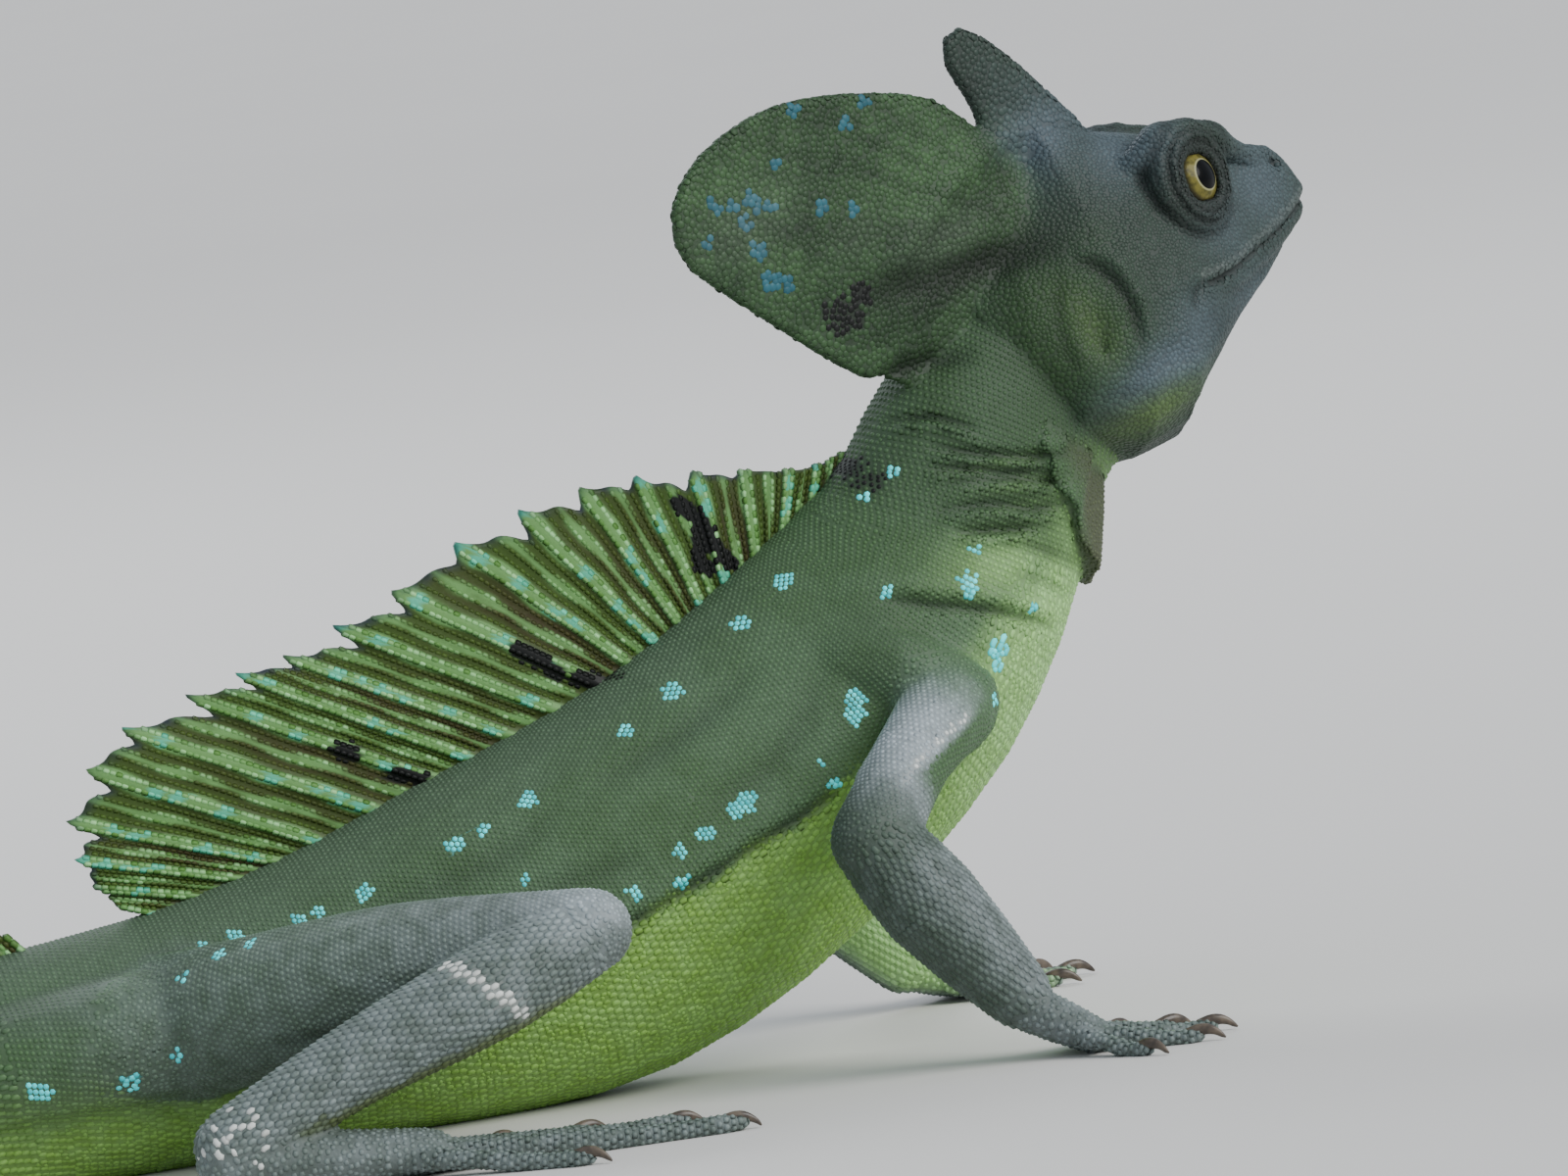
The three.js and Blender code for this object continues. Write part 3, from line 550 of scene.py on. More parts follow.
def carve(line, depth, width, dark=0.0, fade=0.15, no_scales=0.0):
    """Presses a groove into the skin along a line, or raises a ridge where depth is negative; dark is how
    much painted shade it lays in the groove.
    """
    distance, share = distance_to(shape, line, width * 3 + 1)
    bell = np.exp(-((distance / width) ** 2))
    if fade:
        ends = np.clip(np.minimum(share, 1 - share) / fade, 0, 1)
        bell = bell * ends * (2 - ends)
    rise[:] -= depth * bell
    crease[:] = np.maximum(crease, dark * bell)
    bare[:] = np.maximum(bare, no_scales * bell)


def swell(place, height, radii):
    """Raises or sinks a soft patch about a place; radii are along x, y and z."""
    off = (shape - place) / np.array(radii)
    rise[:] += height * np.exp(-(off**2).sum(1))


def eye_circle(side, radius, start=14, steps=36):
    """A circle on the skin round an eye, dropped from outside against the way it looks."""
    middle, way, across, upward = eye_frame(side)
    turn = np.linspace(0, 2 * np.pi, steps + 1)[:, None]
    ray = across * np.cos(turn) + upward * np.sin(turn) * EYE["tall"]
    return drop_on_skin(head_place(middle + way * start + radius * ray), -way @ head_axes())


MOUTH = [(17.0, -2.2), (20.5, -3.2), (25, -3.7), (31, -3.9), (37, -3.9), (42, -3.6), (45.5, -3.2)]
LIP = MOUTH[1:]
MOUTH_BACK = [(18.5, -2.6), (15.6, -1.9), (13.4, -2.9), (12.2, -4.6)]
JAW_EDGE = [(2.5, -14.5), (9, -11.5), (17, -9.8), (26, -9.4), (36, -8.2)]
CASQUE_RIDGE = [(17, 24.5), (11, 27.8), (3, 29.6), (-6, 29.2), (-16, 26.4), (-26, 22.5)]
CASQUE_GROOVE = [(2, 12.2), (-6, 15.2), (-15, 17.6), (-24, 19.6), (-31, 22.5)]
NAPE_GROOVE = [(-19, 5.6), (-24, 7.6), (-29, 8.8), (-34, 9.2)]
TEMPLE_RIDGE = [(17, 14.5), (12, 10.8), (7, 8.4), (4.6, 4.8), (4.4, 0)]
EAR_RIM = [(-1.2, 10.8), (1.6, 9.4), (3.0, 6.2), (3.2, 2.4), (2.2, -1.6), (0.6, -5.0)]
EAR_BACK = [(-2.6, 10.2), (-6.2, 6.4), (-8.4, 1), (-9, -4)]
SNOUT_RIDGE = [(31, 11.6), (35, 8.6), (39, 6.2), (43, 3.8)]
NOSTRIL, NOSTRIL_RIM = [(43.0, 4.6), (43.9, 3.9)], [(41.9, 5.2), (42.9, 6.0), (44.6, 5.4)]
# What follows each line: depth, width, then how much painted shade darkens its fold, how it fades at its ends
# and whether scales stay off it, as far as these differ from none, 0.15 and none. The circles of the lids
# start with a radius.
LID_FOLDS = [
    (5.15, 0.45, 0.42, 0.55, 0), (6.45, 0.36, 0.55, 0.55, 0), (8.1, 0.22, 0.9, 0.55, 0),
    (4.55, -0.22, 0.5, 0, 0), (5.8, -0.22, 0.5, 0, 0), (7.25, -0.22, 0.5, 0, 0),
]
HEAD_FOLDS = [
    (MOUTH, 0.95, 0.5, 0.95, 0.04, 1), (MOUTH_BACK, 0.5, 0.7, 0.6, 0.4), (shifted(LIP, 0, 1.7), -0.34, 0.9),
    (shifted(LIP, 0, -1.8), -0.32, 0.95), (shifted(LIP, -0.5, -3.5), 0.25, 0.7, 0.25), (JAW_EDGE, -0.5, 2.2),
    (CASQUE_RIDGE, -0.75, 1.8), (shifted(CASQUE_RIDGE[2:], 0, -4.6), 0.35, 2.4, 0.2),
    (CASQUE_GROOVE, 0.9, 2.6, 0.8, 0.4), (NAPE_GROOVE, 0.8, 1.5, 0.8, 0.3), (TEMPLE_RIDGE, -0.45, 1.8),
    (EAR_RIM, 0.7, 1.0, 0.8, 0.35), (shifted(EAR_RIM, 2.1, 0.6), -0.35, 1.2),
    (EAR_BACK, 0.25, 1.0, 0.35, 0.3), (SNOUT_RIDGE, -0.35, 1.3), (NOSTRIL, 1.25, 0.62, 1, 0, 1),
    (NOSTRIL_RIM, -0.3, 0.7),
]
# The mouth and lips where they run round the front of the snout, each at its height.
SNOUT_FOLDS = [(-3.1, 0.8, 0.5, 0.9, 0.15, 0.9), (-1.4, -0.3, 0.9), (-4.8, -0.28, 0.95)]
# Soft patches: place, height and radii. The first sinks the side of the throat, the others raise the brow.
HEAD_SWELLS = [((9.5, 8.5, -18), -1.5, (6, 6, 5)), ((23.5, 8.5, 19.5), 1.3, (4.5, 4.5, 4.5)),
               ((33, 8, 15), 1.3, (4, 4, 4))]
for side in (RIGHT, LEFT):
    for radius, *sizes in LID_FOLDS:
        carve(eye_circle(side, radius), *sizes)
    for places, *sizes in HEAD_FOLDS:
        carve(head_line(places, side), *sizes)
    for place, *sizes in HEAD_SWELLS:
        swell(head_place(place * np.array([1, side, 1]))[0], *sizes)
for height, *sizes in SNOUT_FOLDS:
    across_snout = head_place([[60, y, height] for y in np.linspace(-4.5, 4.5, 13)])
    carve(drop_on_skin(across_snout, -head_axes()[0]), *sizes)
print("head carved: deepest", round(rise.min(), 2), "mm")

# %% Folds of the neck, trunk and limbs
NECK_CREASES = [
    [(76, 91.1), (82.4, 91), (89, 87.9)],
    [(80.6, 87), (88.5, 84.8), (97.6, 82.8), (103, 82.4)],
    [(79.8, 84), (86, 83), (94, 81.2), (100, 80.4)],
    [(82, 81.5), (90.8, 80.7), (96, 79.6), (102, 78.4)],
    [(79.9, 77.5), (88.7, 77.3), (96.2, 75.4), (101, 75.3)],
    [(82, 74.2), (90, 73.4), (96, 72.6)],
]
SHOULDER_FOLD = [(69.1, 66.4), (75.9, 64.8), (84.5, 62.6), (91.9, 59.9), (97.6, 56.9)]
LATERAL_FOLD = [(-30, 18.5), (-8, 21.5), (12, 23.4), (26.1, 26.3), (44.1, 33.6), (60.3, 40.9), (66, 45.4)]
FLANK_FOLDS = [
    [(52, 61), (44, 55), (34, 50), (24, 47)],
    [(60, 58), (55, 50), (47, 43.5), (38, 40.5)],
    [(20, 44), (8, 38), (-6, 34), (-20, 30)],
    [(30, 36), (20, 33.4), (8, 31)],
]
SHOULDER_BLADE = [(66, 72), (70, 62), (76, 55)]
WEBS = [[(92, 71), (97, 69), (102, 66)], [(90, 67), (96, 64.5), (100, 61.5)]]
BODY_FOLDS = [
    (90, SHOULDER_FOLD, 0.95, 0.85, 0.8, 0.35), (90, shifted(SHOULDER_FOLD, 0, 2.0), -0.5, 1.3, 0, 0.25),
    (30, LATERAL_FOLD, 0.8, 0.85, 0.85, 0.2), (30, shifted(LATERAL_FOLD, 0, 2.2), -0.45, 1.6, 0, 0.2),
    *((26, places, 0.45, 2.2, 0.35, 0.4) for places in FLANK_FOLDS),
    (30, SHOULDER_BLADE, -0.5, 4.5, 0, 0.4), *((30, places, 0.35, 0.8, 0.5, 0.4) for places in WEBS),
]
KNEE_AND_ELBOW = [((15.5, -49.5, 30.5), 0.4, (4, 4, 4)), ((59.4, -38, 34), 0.3, (5, 5, 5))]
TENDONS = [((-6, -57, 21), (-20, -57, 14)), ((-14, -57, 21), (-28, -57, 14))]
for side in (RIGHT, LEFT):
    for number, places in enumerate(NECK_CREASES):
        carve(body_line(places, side), (0.85, 1.15)[number % 2], 0.62, 0.7, 0.4)
        carve(body_line(shifted(places, 0, -1.5), side), -0.7, 0.85, 0, 0.4)
    for start, places, *sizes in BODY_FOLDS:
        carve(body_line(places, side, start), *sizes)
    for place, *sizes in KNEE_AND_ELBOW:
        swell(for_side([place], side)[0], *sizes)
    for ends in TENDONS:
        carve(drop_on_skin(np.linspace(*for_side(ends, side), 6), [0, -side, 0]), 0.2, 1.4, 0, 0.4)
set_points(skin.data, shape + normals_of(skin.data) * relax(rise, edges, 1.0, 1, back=None)[:, None])

# %% Thin the skin to its share of the triangles
SKIN_TRIANGLES = 188000
BUSY_WEIGHT = 0.45


def keep_on(mesh, **values):
    """Writes arrays, one number for each point, as named attributes of a mesh."""
    for name, array in values.items():
        spot = mesh.attributes.get(name) or mesh.attributes.new(name, "FLOAT", "POINT")
        spot.data.foreach_set("value", np.asarray(array, np.float32))


def kept(mesh, name):
    return read_all(mesh.attributes[name].data, "value")


def triangles_of(mesh):
    return sum(len(face.vertices) - 2 for face in mesh.polygons)


def thin_skin():
    """Thins the skin, least of all on the head and where it is carved."""
    keep_on(skin.data, crease=crease, bare=bare)
    group = skin.vertex_groups.new(name="plain")
    busy = (rise < -0.15) | is_part(owner, "head", "lower_jaw", "throat_fold")
    group.add(np.where(~busy)[0].tolist(), 1.0, "REPLACE")
    group.add(np.where(busy)[0].tolist(), BUSY_WEIGHT, "REPLACE")
    thin = skin.modifiers.new("thin", "DECIMATE")
    thin.ratio = min(1, SKIN_TRIANGLES / triangles_of(skin.data))
    thin.vertex_group = group.name
    thin.vertex_group_factor = 1.0
    settle(skin)
    skin.vertex_groups.clear()
    skin.data.polygons.foreach_set("use_smooth", [True] * len(skin.data.polygons))


thin_skin()
shape, outward = points_of(skin.data), normals_of(skin.data)
edges = edges_of(skin.data)
owner = parts_at(shape)
crease, bare = kept(skin.data, "crease"), kept(skin.data, "bare")
skin_tree = BVHTree.FromObject(skin, bpy.context.evaluated_depsgraph_get())
print("skin:", triangles_of(skin.data), "triangles", passed())

# %% [markdown]
# ## Markings
# The animal is green with a cooler head, slate limbs and a bright belly, and it is dotted with turquoise
# scales. Each marking is a number from 0 to 1 at every point. The same rules are asked twice: for the
# points of the skin, and for the root of each scale, so that a turquoise dot is a few whole scales, as on
# the real animal. Places on the body are x and z in the side view; both sides carry them.

# %% Where each marking lies
# The fold between flank and belly, patches as x, z, two radii and a strength, and spots as x, z, radius.
BELLY_LINE = [(-110, 6), (-80, 12), (-42, 15), (-10, 18.5), (12, 21.5), (26, 26.3), (44, 33.4), (60, 40.9),
              (68, 46.5), (78, 53), (86, 61), (92, 68), (98, 75), (106, 84)]
GREEN_HEAD = [(-7, 1, 10, 15, 1.5), (3, 12, 5, 4, 0.5)]
SPOTS = [
    (57.5, 70.7, 1.5), (50.3, 65.7, 1.4), (38.6, 57.4, 1.5), (30.9, 52.8, 1.3), (15, 45.5, 1.4),
    (7.8, 42.3, 1.1), (3.3, 40.6, 1.3), (-10.6, 36.2, 1.5), (-17.4, 34.4, 1.0), (-20.7, 33.5, 1.3),
    (-30.1, 33.1, 1.2), (-34.7, 31.8, 1.2), (-39.7, 29.5, 1.0), (63.5, 50.9, 1.7), (63.9, 52.8, 1.6),
    (57.1, 44.8, 0.7), (58.7, 41.1, 1.0), (45.6, 40.6, 1.7), (43.8, 39.8, 1.4), (38.9, 37.2, 1.3),
    (34.5, 35.3, 1.1), (34.2, 30.8, 1.2), (27, 30.5, 1.0), (12, 34.5, 0.8), (86.3, 56.4, 1.7),
    (86, 54.2, 1.2), (83.9, 49.8, 1.1), (83.3, 66.3, 1.9), (93.4, 61, 0.9), (85.1, 71, 0.9),
    (71.2, 67.2, 1.1), (75.5, 84, 1.1), (71.3, 80.7, 1.0), (-61.7, 16.1, 1.7), (-48.9, 15.5, 1.8),
    (-42.3, 18.8, 1.2), (59, 126.2, 1.5), (61.7, 124.8, 0.9), (52.8, 126.5, 1.1), (69.9, 123.5, 1.2),
    (74.8, 122.5, 0.8), (59.1, 118.7, 1.3), (60.4, 114.2, 1.3), (62.5, 113.6, 1.1), (75.7, 134.7, 1.0),
    (63.5, 131.2, 0.7), (55.8, 125.7, 0.8), (67.9, 138.1, 1.0), (79.2, 137.6, 1.0), (57.4, 123.4, 0.9),
    (51.0, 121.5, 0.8),
]
TAIL_SPOTS = [(x, 0.24 * math.sin(x), 1.3) for x in range(-600, -70, 19)]
BLACK_PATCHES = [(71.2, 107.8, 3.4, 3.2), (74.2, 110.2, 2.2, 2.0), (70.2, 85.2, 2.4, 1.7),
                 (72.6, 82.9, 2.6, 1.3), (29.5, 60.6, 4.2, 0.9)]
CALF_LINE = [(-38, 4), (-31, 9.8), (-21, 12.6), (-11, 15.6), (2, 20.2), (18, 24)]
THROAT_PATCH = [
    (91, 68.5, 9.5, 4.5, 0.85), (94, 79.3, 7, 1.2, 0.35), (92, 82.8, 7, 0.8, 0.3), (95, 76.2, 7, 0.9, 0.3),
]
KNEE_RING = [(-7.5, 29.2), (-4.6, 27), (-2.4, 25), (0, 22.7), (2.4, 20)]
ARM_STREAK = [(78, 49.0), (74, 47.6), (69.8, 45.5), (65, 42.3)]
# Blue-grey patches of the head, each x, z, two radii and a strength: mostly its own cooler tone, and on the
# jowl partly a painted highlight.
COOL_HEAD = [(4, 27.5, 15, 5, 1.0), (18, 20, 7, 5, 0.8), (38, 4, 8, 7, 0.75), (27, 3, 7, 7, 0.5),
             (3.5, -9.6, 9, 4.2, 1.3), (26, -9, 13, 4, 0.6), (12, -7, 7, 5, 0.7)]
# Patches of painted shade on the head and casque, strongest in the groove under the casque and by the nape:
# each x, z, two radii and a strength.
HEAD_SHADE = [(-12, 16, 13, 3.4, 0.9), (-27, 20, 7, 3.4, 0.5), (-25, 9, 9, 3, 0.5), (1, 37, 5, 8, 0.45),
             (19, -9, 7, 3.5, 0.3)]
HAZE = [(-16, 23, 8, 4, 1), (-42, 40, 9, 5, 0.8), (-27, 30, 6, 3, 0.5)]
MOSS_HEAD = [(0.5, -14.2, 8.5, 3.2, 1.0), (-3.4, 1.4, 2.6, 5.6, 0.5)]


def soft_step(value, low, high):
    share = np.clip((value - low) / (high - low), 0, 1)
    return share * share * (3 - 2 * share)


def patches(x, z, places):
    """The strength at (x, z) of soft oval patches, each x, z, two radii and how strong."""
    total = np.zeros(len(x))
    for px, pz, rx, rz, strong in places:
        total = np.maximum(total, strong * np.exp(-(((x - px) / rx) ** 2) - ((z - pz) / rz) ** 2))
    return np.clip(total, 0, 1)


def flat_distance(x, z, line):
    """The distance in the side view to a line of places (x, z)."""
    nearest = np.full(len(x), 1e6)
    for (ax, az), (bx, bz) in zip(line[:-1], line[1:]):
        along = np.array([bx - ax, bz - az])
        w = np.clip(((x - ax) * along[0] + (z - az) * along[1]) / (along @ along), 0, 1)
        nearest = np.minimum(nearest, np.hypot(x - ax - w * along[0], z - az - w * along[1]))
    return nearest


def joint_gap(points, joint):
    """The distance of each point from a joint of the right limbs, or from its mirror on the left."""
    x, y, z = points.T
    return np.linalg.norm(np.stack([x, -abs(y), z], 1) - joint[:3], axis=1)


def eye_gap(points):
    """The distance of each point from the nearer eye."""
    gaps = [np.linalg.norm(to_head(points) - eye_frame(side)[0], axis=1) for side in (RIGHT, LEFT)]
    return np.min(gaps, axis=0)


def arm_front(points, owner):
    """The front of the upper arm, ahead of its pale streak, where the slate gives way to green."""
    ahead = 0.445 * (points[:, 0] - 72) - 0.896 * (points[:, 2] - 45.9)
    near = 1 - soft_step(joint_gap(points, ARM[0]), 28, 33)
    return is_part(owner, "upper_arm", "chest") * soft_step(ahead, 0.0, 1.6) * near


def spots(points, ways, owner, luck):
    """Round spots on the body and the casque, and a row along each side of the tail."""
    x, _, z = points.T
    crest = is_part(owner, "crest_rear")
    body = ~is_part(owner, "shank", "foot", "forearm", "hand") & (abs(points[:, 1]) < 32)
    facing = np.maximum(abs(ways[:, 1]), 0.3)
    dots = np.zeros(len(x))
    for sx, sz, radius in SPOTS:
        slide = (ways[:, 0] * (x - sx) + ways[:, 2] * (z - sz)) / facing
        gap = np.sqrt((x - sx) ** 2 + (z - sz) ** 2 + slide**2)
        dots = np.maximum(dots, body * (gap < radius * (0.72 + 0.5 * luck) * (1 + 0.2 * crest)))
    for sx, up, radius in TAIL_SPOTS:
        height = np.interp(sx, SPINE[:, 0], SPINE[:, 2]) + np.interp(sx, SPINE[:, 0], SPINE[:, 4]) * up
        near = np.hypot(x - sx, z - height) < radius * (0.6 + 0.6 * luck)
        dots = np.maximum(dots, is_part(owner, "tail") * near)
    return dots


def pale_marks(points, ways, owner, luck):
    """The ring below the knee, the heel, the streak on the arm, a faint painted highlight along the upper
    lip, and a faint haze on the casque.
    """
    x, y, z = points.T
    hx, _, hz = to_head(points).T
    ring = is_part(owner, "shank") & (flat_distance(x, z, KNEE_RING) < 0.7 + 0.5 * luck)
    heel = is_part(owner, "shank", "foot") & (np.hypot(x + 41, z - 9.5) < 5.5) & (luck > 0.78)
    streak = is_part(owner, "upper_arm") & (flat_distance(x, z, ARM_STREAK) < 0.5) & (luck > 0.3)
    # A faint painted highlight along the upper lip, above the mouth.
    on_lip = 1 - soft_step(flat_distance(hx, hz, np.array(MOUTH) + [0, 1.5]), 0.3, 1.0)
    lip = is_part(owner, "head") * on_lip * (0.03 + 0.05 * luck)
    haze = 0.05 * is_part(owner, "crest_rear") * patches(hx, hz, HAZE) * (0.6 + 0.6 * luck)
    return np.maximum((ring | heel | streak) * (ways[:, 1] * np.sign(y) > 0.1), np.maximum(lip, haze))


def markings(points, ways, owner, luck):
    """Every marking at each point; ways are the outward normals and luck a number from 0 to 1 for each."""
    x, y, z = points.T
    hx, _, hz = to_head(points).T

    def on(*names):
        return is_part(owner, *names)

    trunk = on("pelvis", "abdomen", "chest", "neck", "tail")
    skull, crest, flap = on("head", "lower_jaw", "crest_front"), on("crest_rear"), on("throat_fold")
    on_head = skull | flap
    arms = on("upper_arm", "forearm", "hand")
    inner = soft_step(-ways[:, 1] * np.sign(y), 0.0, 0.65)
    elbow = joint_gap(points, ARM[3])
    eye = eye_gap(points)
    made = {"skull": skull.astype(float), "casque": crest.astype(float)}

    fold = np.interp(x, *np.array(BELLY_LINE).T)
    wave = 0.8 * np.sin(x * 0.45) + 1.6 * (luck - 0.5)
    soft = 1.2 + 7 * soft_step(x, 62, 84) + 7 * soft_step(-x, 22, 48)
    below = np.maximum(trunk * soft_step((fold - z + wave) / soft, -0.7, 1.3), 0.9 * arms * inner)
    made["belly"] = np.maximum(below, on("neck", "chest") * patches(x, z, THROAT_PATCH))
    # The bright marking is mostly painted light: a painted highlight on top of the knee and on the upper arm
    # away from the elbow, and the front of the chest painted as lit; on the inner side of the arms it
    # lightens their green.
    knee_highlight = (1 - soft_step(joint_gap(points, THIGH[3]), 5, 11)) * soft_step(ways[:, 2], -0.2, 0.6)
    bright = np.maximum(soft_step(x, 60, 96) * trunk, arms * inner)
    made["bright"] = np.maximum(bright, on("upper_arm") * soft_step(elbow, 5, 10) + knee_highlight)

    legs = on("thigh") * (0.5 + 0.45 * soft_step(x, -32, 8)) + on("shank", "foot") * 0.9
    cap = soft_step(joint_gap(points, ARM[0]), 13, 22)
    made["limb"] = arms * (1 - inner) * cap + legs * (1 - 0.5 * inner)
    made["calf"] = on("shank", "thigh") * soft_step(np.interp(x, *np.array(CALF_LINE).T) - z, -0.3, 0.9)

    # Dark green near the elbow, partly the arm's own colour and partly painted shade, and painted shade on
    # the back and underside of the forearm, which face away from the light.
    behind = 0.7 * on("forearm") * soft_step(-ways[:, 0] - 0.5 * ways[:, 2], -0.5, 0.5)
    fore = np.maximum(on("forearm", "upper_arm") * (1 - soft_step(elbow, 4, 13)), behind)
    shoulder = 0.45 * trunk * np.exp(-(((x - 68) / 9) ** 2) - ((z - 60) / 8) ** 2)
    green = np.maximum(on_head * patches(hx, hz, GREEN_HEAD), 0.55 * on("neck"))
    green = np.maximum(np.maximum(green, fore * (1 - inner) * 0.85), shoulder)
    made["lid"] = on_head * (1 - soft_step(eye, 6.8, 10))
    made["green"] = green * (1 - made["lid"])
    made["margin"] = on_head * (1 - soft_step(eye, 5.6, 6.4))
    made["cool"] = on_head * patches(hx, hz, COOL_HEAD)
    made["moss"] = on_head * patches(hx, hz, MOSS_HEAD)
    made["flap"] = flap * (1 - soft_step(abs(y - FLAP_WAVES["middle"][1]), 9, 12.5))

    ray_turn = np.arctan2(hz - 14, 4 - hx)
    rays = soft_step(np.sin(ray_turn * 30 + 2 * np.sin(ray_turn * 7)) + 0.9 * (luck - 0.5), 0.1, 0.9)
    bands = soft_step(np.sin(x * 0.19 + 0.5 * np.sin(x * 0.05)) + 0.3 * (luck - 0.5), 0.2, 0.8)
    # Painted shade from the head's patches, together with the dark rays of the casque and the dark bands of
    # the tail, which are pattern.
    dark = np.maximum((on_head | crest) * patches(hx, hz, HEAD_SHADE), crest * 0.32 * rays)
    made["dark"] = np.maximum(dark, 0.5 * bands * soft_step(-x, 110, 190) * on("tail"))
    made["back"] = trunk * soft_step(ways[:, 2], 0.35, 0.95) * soft_step(70 - x, 0, 30)
    made["spot"] = spots(points, ways, owner, luck)
    black = [((x - px) / rx) ** 2 + ((z - pz) / rz) ** 2 for px, pz, rx, rz in BLACK_PATCHES]
    inked = np.min(black, axis=0) < 0.35 + 0.9 * luck
    made["black"] = inked * on("crest_rear", "neck", "chest", "abdomen") * 1.0
    made["pale"] = pale_marks(points, ways, owner, luck)
    return made


# How many rounds of relaxing blend each marking over the borders between the solids.
BLENDED = {"limb": 24, "casque": 46, "skull": 46, "belly": 2, "bright": 8, "cool": 20, "green": 14,
           "calf": 3, "flap": 6}
# Between the scales the spots and the pale marks are fainter than on them.
FAINTER = {"spot": 0.5, "pale": 0.3}
marks = markings(shape, outward, owner, np.full(len(shape), 0.5))
for name, share in FAINTER.items():
    marks[name] = marks[name] * share
for name, rounds in (*BLENDED.items(), ("black", 2)):
    marks[name] = relax(marks[name], edges, 1.0, rounds, back=None)
marks["limb"] *= 1 - arm_front(shape, owner)
keep_on(skin.data, crease=crease, grain=np.full(len(shape), 0.35), crown=np.full(len(shape), 0.3), **marks)
print("markings:", ", ".join(marks), passed())

# %% [markdown]
# ## A small language for finishes
# A material is a graph of nodes, and graphs written call by call are hard to read. So one small class
# wraps a socket and knows the four sums, and an expression such as `1 - mask * 0.5` adds its own nodes.
# A second class is the finish itself: one method adds any node, and others mix colours, read a marking
# or lay a noise over the piece. Patterns read object coordinates, so they keep their real size.

# %% Wires and finishes
class Wire:
    """A value of the graph that can stand in a sum."""

    def __init__(self, finish, socket):
        self.finish = finish
        self.socket = socket

    def sum(self, how, a, b):
        return self.finish.node("ShaderNodeMath", {"operation": how}, {0: a, 1: b})

    def __add__(self, other):
        return self.sum("ADD", self, other)

    def __radd__(self, other):
        return self.sum("ADD", other, self)

    def __sub__(self, other):
        return self.sum("SUBTRACT", self, other)

    def __rsub__(self, other):
        return self.sum("SUBTRACT", other, self)

    def __mul__(self, other):
        return self.sum("MULTIPLY", self, other)

    def __rmul__(self, other):
        return self.sum("MULTIPLY", other, self)

    def __pow__(self, other):
        return self.sum("POWER", self, other)


class Finish:
    """A material built by expressions."""

    def __init__(self, name):
        self.material = bpy.data.materials.new(name)
        self.material.use_nodes = True
        self.nodes = self.material.node_tree.nodes
        self.links = self.material.node_tree.links
        self.nodes.clear()

    def node(self, kind, settings=None, values=None, output=0):
        """Adds a node: its settings first, then a number, colour or wire for each socket."""
        made = self.nodes.new(kind)
        for key, value in (settings or {}).items():
            setattr(made, key, value)
        for key, value in (values or {}).items():
            if isinstance(value, Wire):
                self.links.new(value.socket, made.inputs[key])
            else:
                made.inputs[key].default_value = value
        return Wire(self, made.outputs[output])

    def mark(self, name):
        return self.node("ShaderNodeAttribute", {"attribute_name": name}, output=2)

    def place(self):
        return self.node("ShaderNodeTexCoord", output=3)

    def noise(self, size_mm, detail=3.0, rough=0.55):
        """Clouds of about that size, from 0 to 1."""
        values = {"Vector": self.place(), "Scale": 1000 / size_mm, "Detail": detail, "Roughness": rough}
        return self.node("ShaderNodeTexNoise", {}, values)

    def cells(self, size_mm, output=0):
        values = {"Vector": self.place(), "Scale": 1000 / size_mm}
        return self.node("ShaderNodeTexVoronoi", {}, values, output)

    def between(self, value, low, high):
        values = {0: value, 1: low, 2: high, 3: 0.0, 4: 1.0}
        return self.node("ShaderNodeMapRange", {"interpolation_type": "SMOOTHSTEP"}, values)

    def mix(self, a, b, share, how="MIX"):
        colours = [c if isinstance(c, Wire) else (*c, 1.0) for c in (a, b)]
        settings = {"data_type": "RGBA", "blend_type": how}
        return self.node("ShaderNodeMix", settings, {0: share, 6: colours[0], 7: colours[1]}, output=2)

    def shade(self, colour, share):
        """The colour made darker: share is what is left of it."""
        grey = self.node("ShaderNodeCombineColor", {}, {0: share, 1: share, 2: share})
        return self.mix(colour, grey, 1.0, "MULTIPLY")

    def bump(self, height, strength, depth_mm):
        values = {"Height": height, "Strength": strength, "Distance": depth_mm * MM}
        return self.node("ShaderNodeBump", {}, values)

    def finish(self, **sockets):
        body = self.node("ShaderNodeBsdfPrincipled", {}, {k.replace("_", " "): v for k, v in sockets.items()})
        output = self.nodes.new("ShaderNodeOutputMaterial")
        self.links.new(body.socket, output.inputs["Surface"])
        return self.material


# %% [markdown]
# ## The hide's colours
# Skin and scales wear the same colours, so both finishes call one function. It starts from the green of
# the flank and mixes in the rest by the markings, some of them painted light and shade. Each scale then
# gets a little lighter or darker than its neighbour, and painted shade makes its rim darker than its crown,
# which is what makes small scales read as scales.

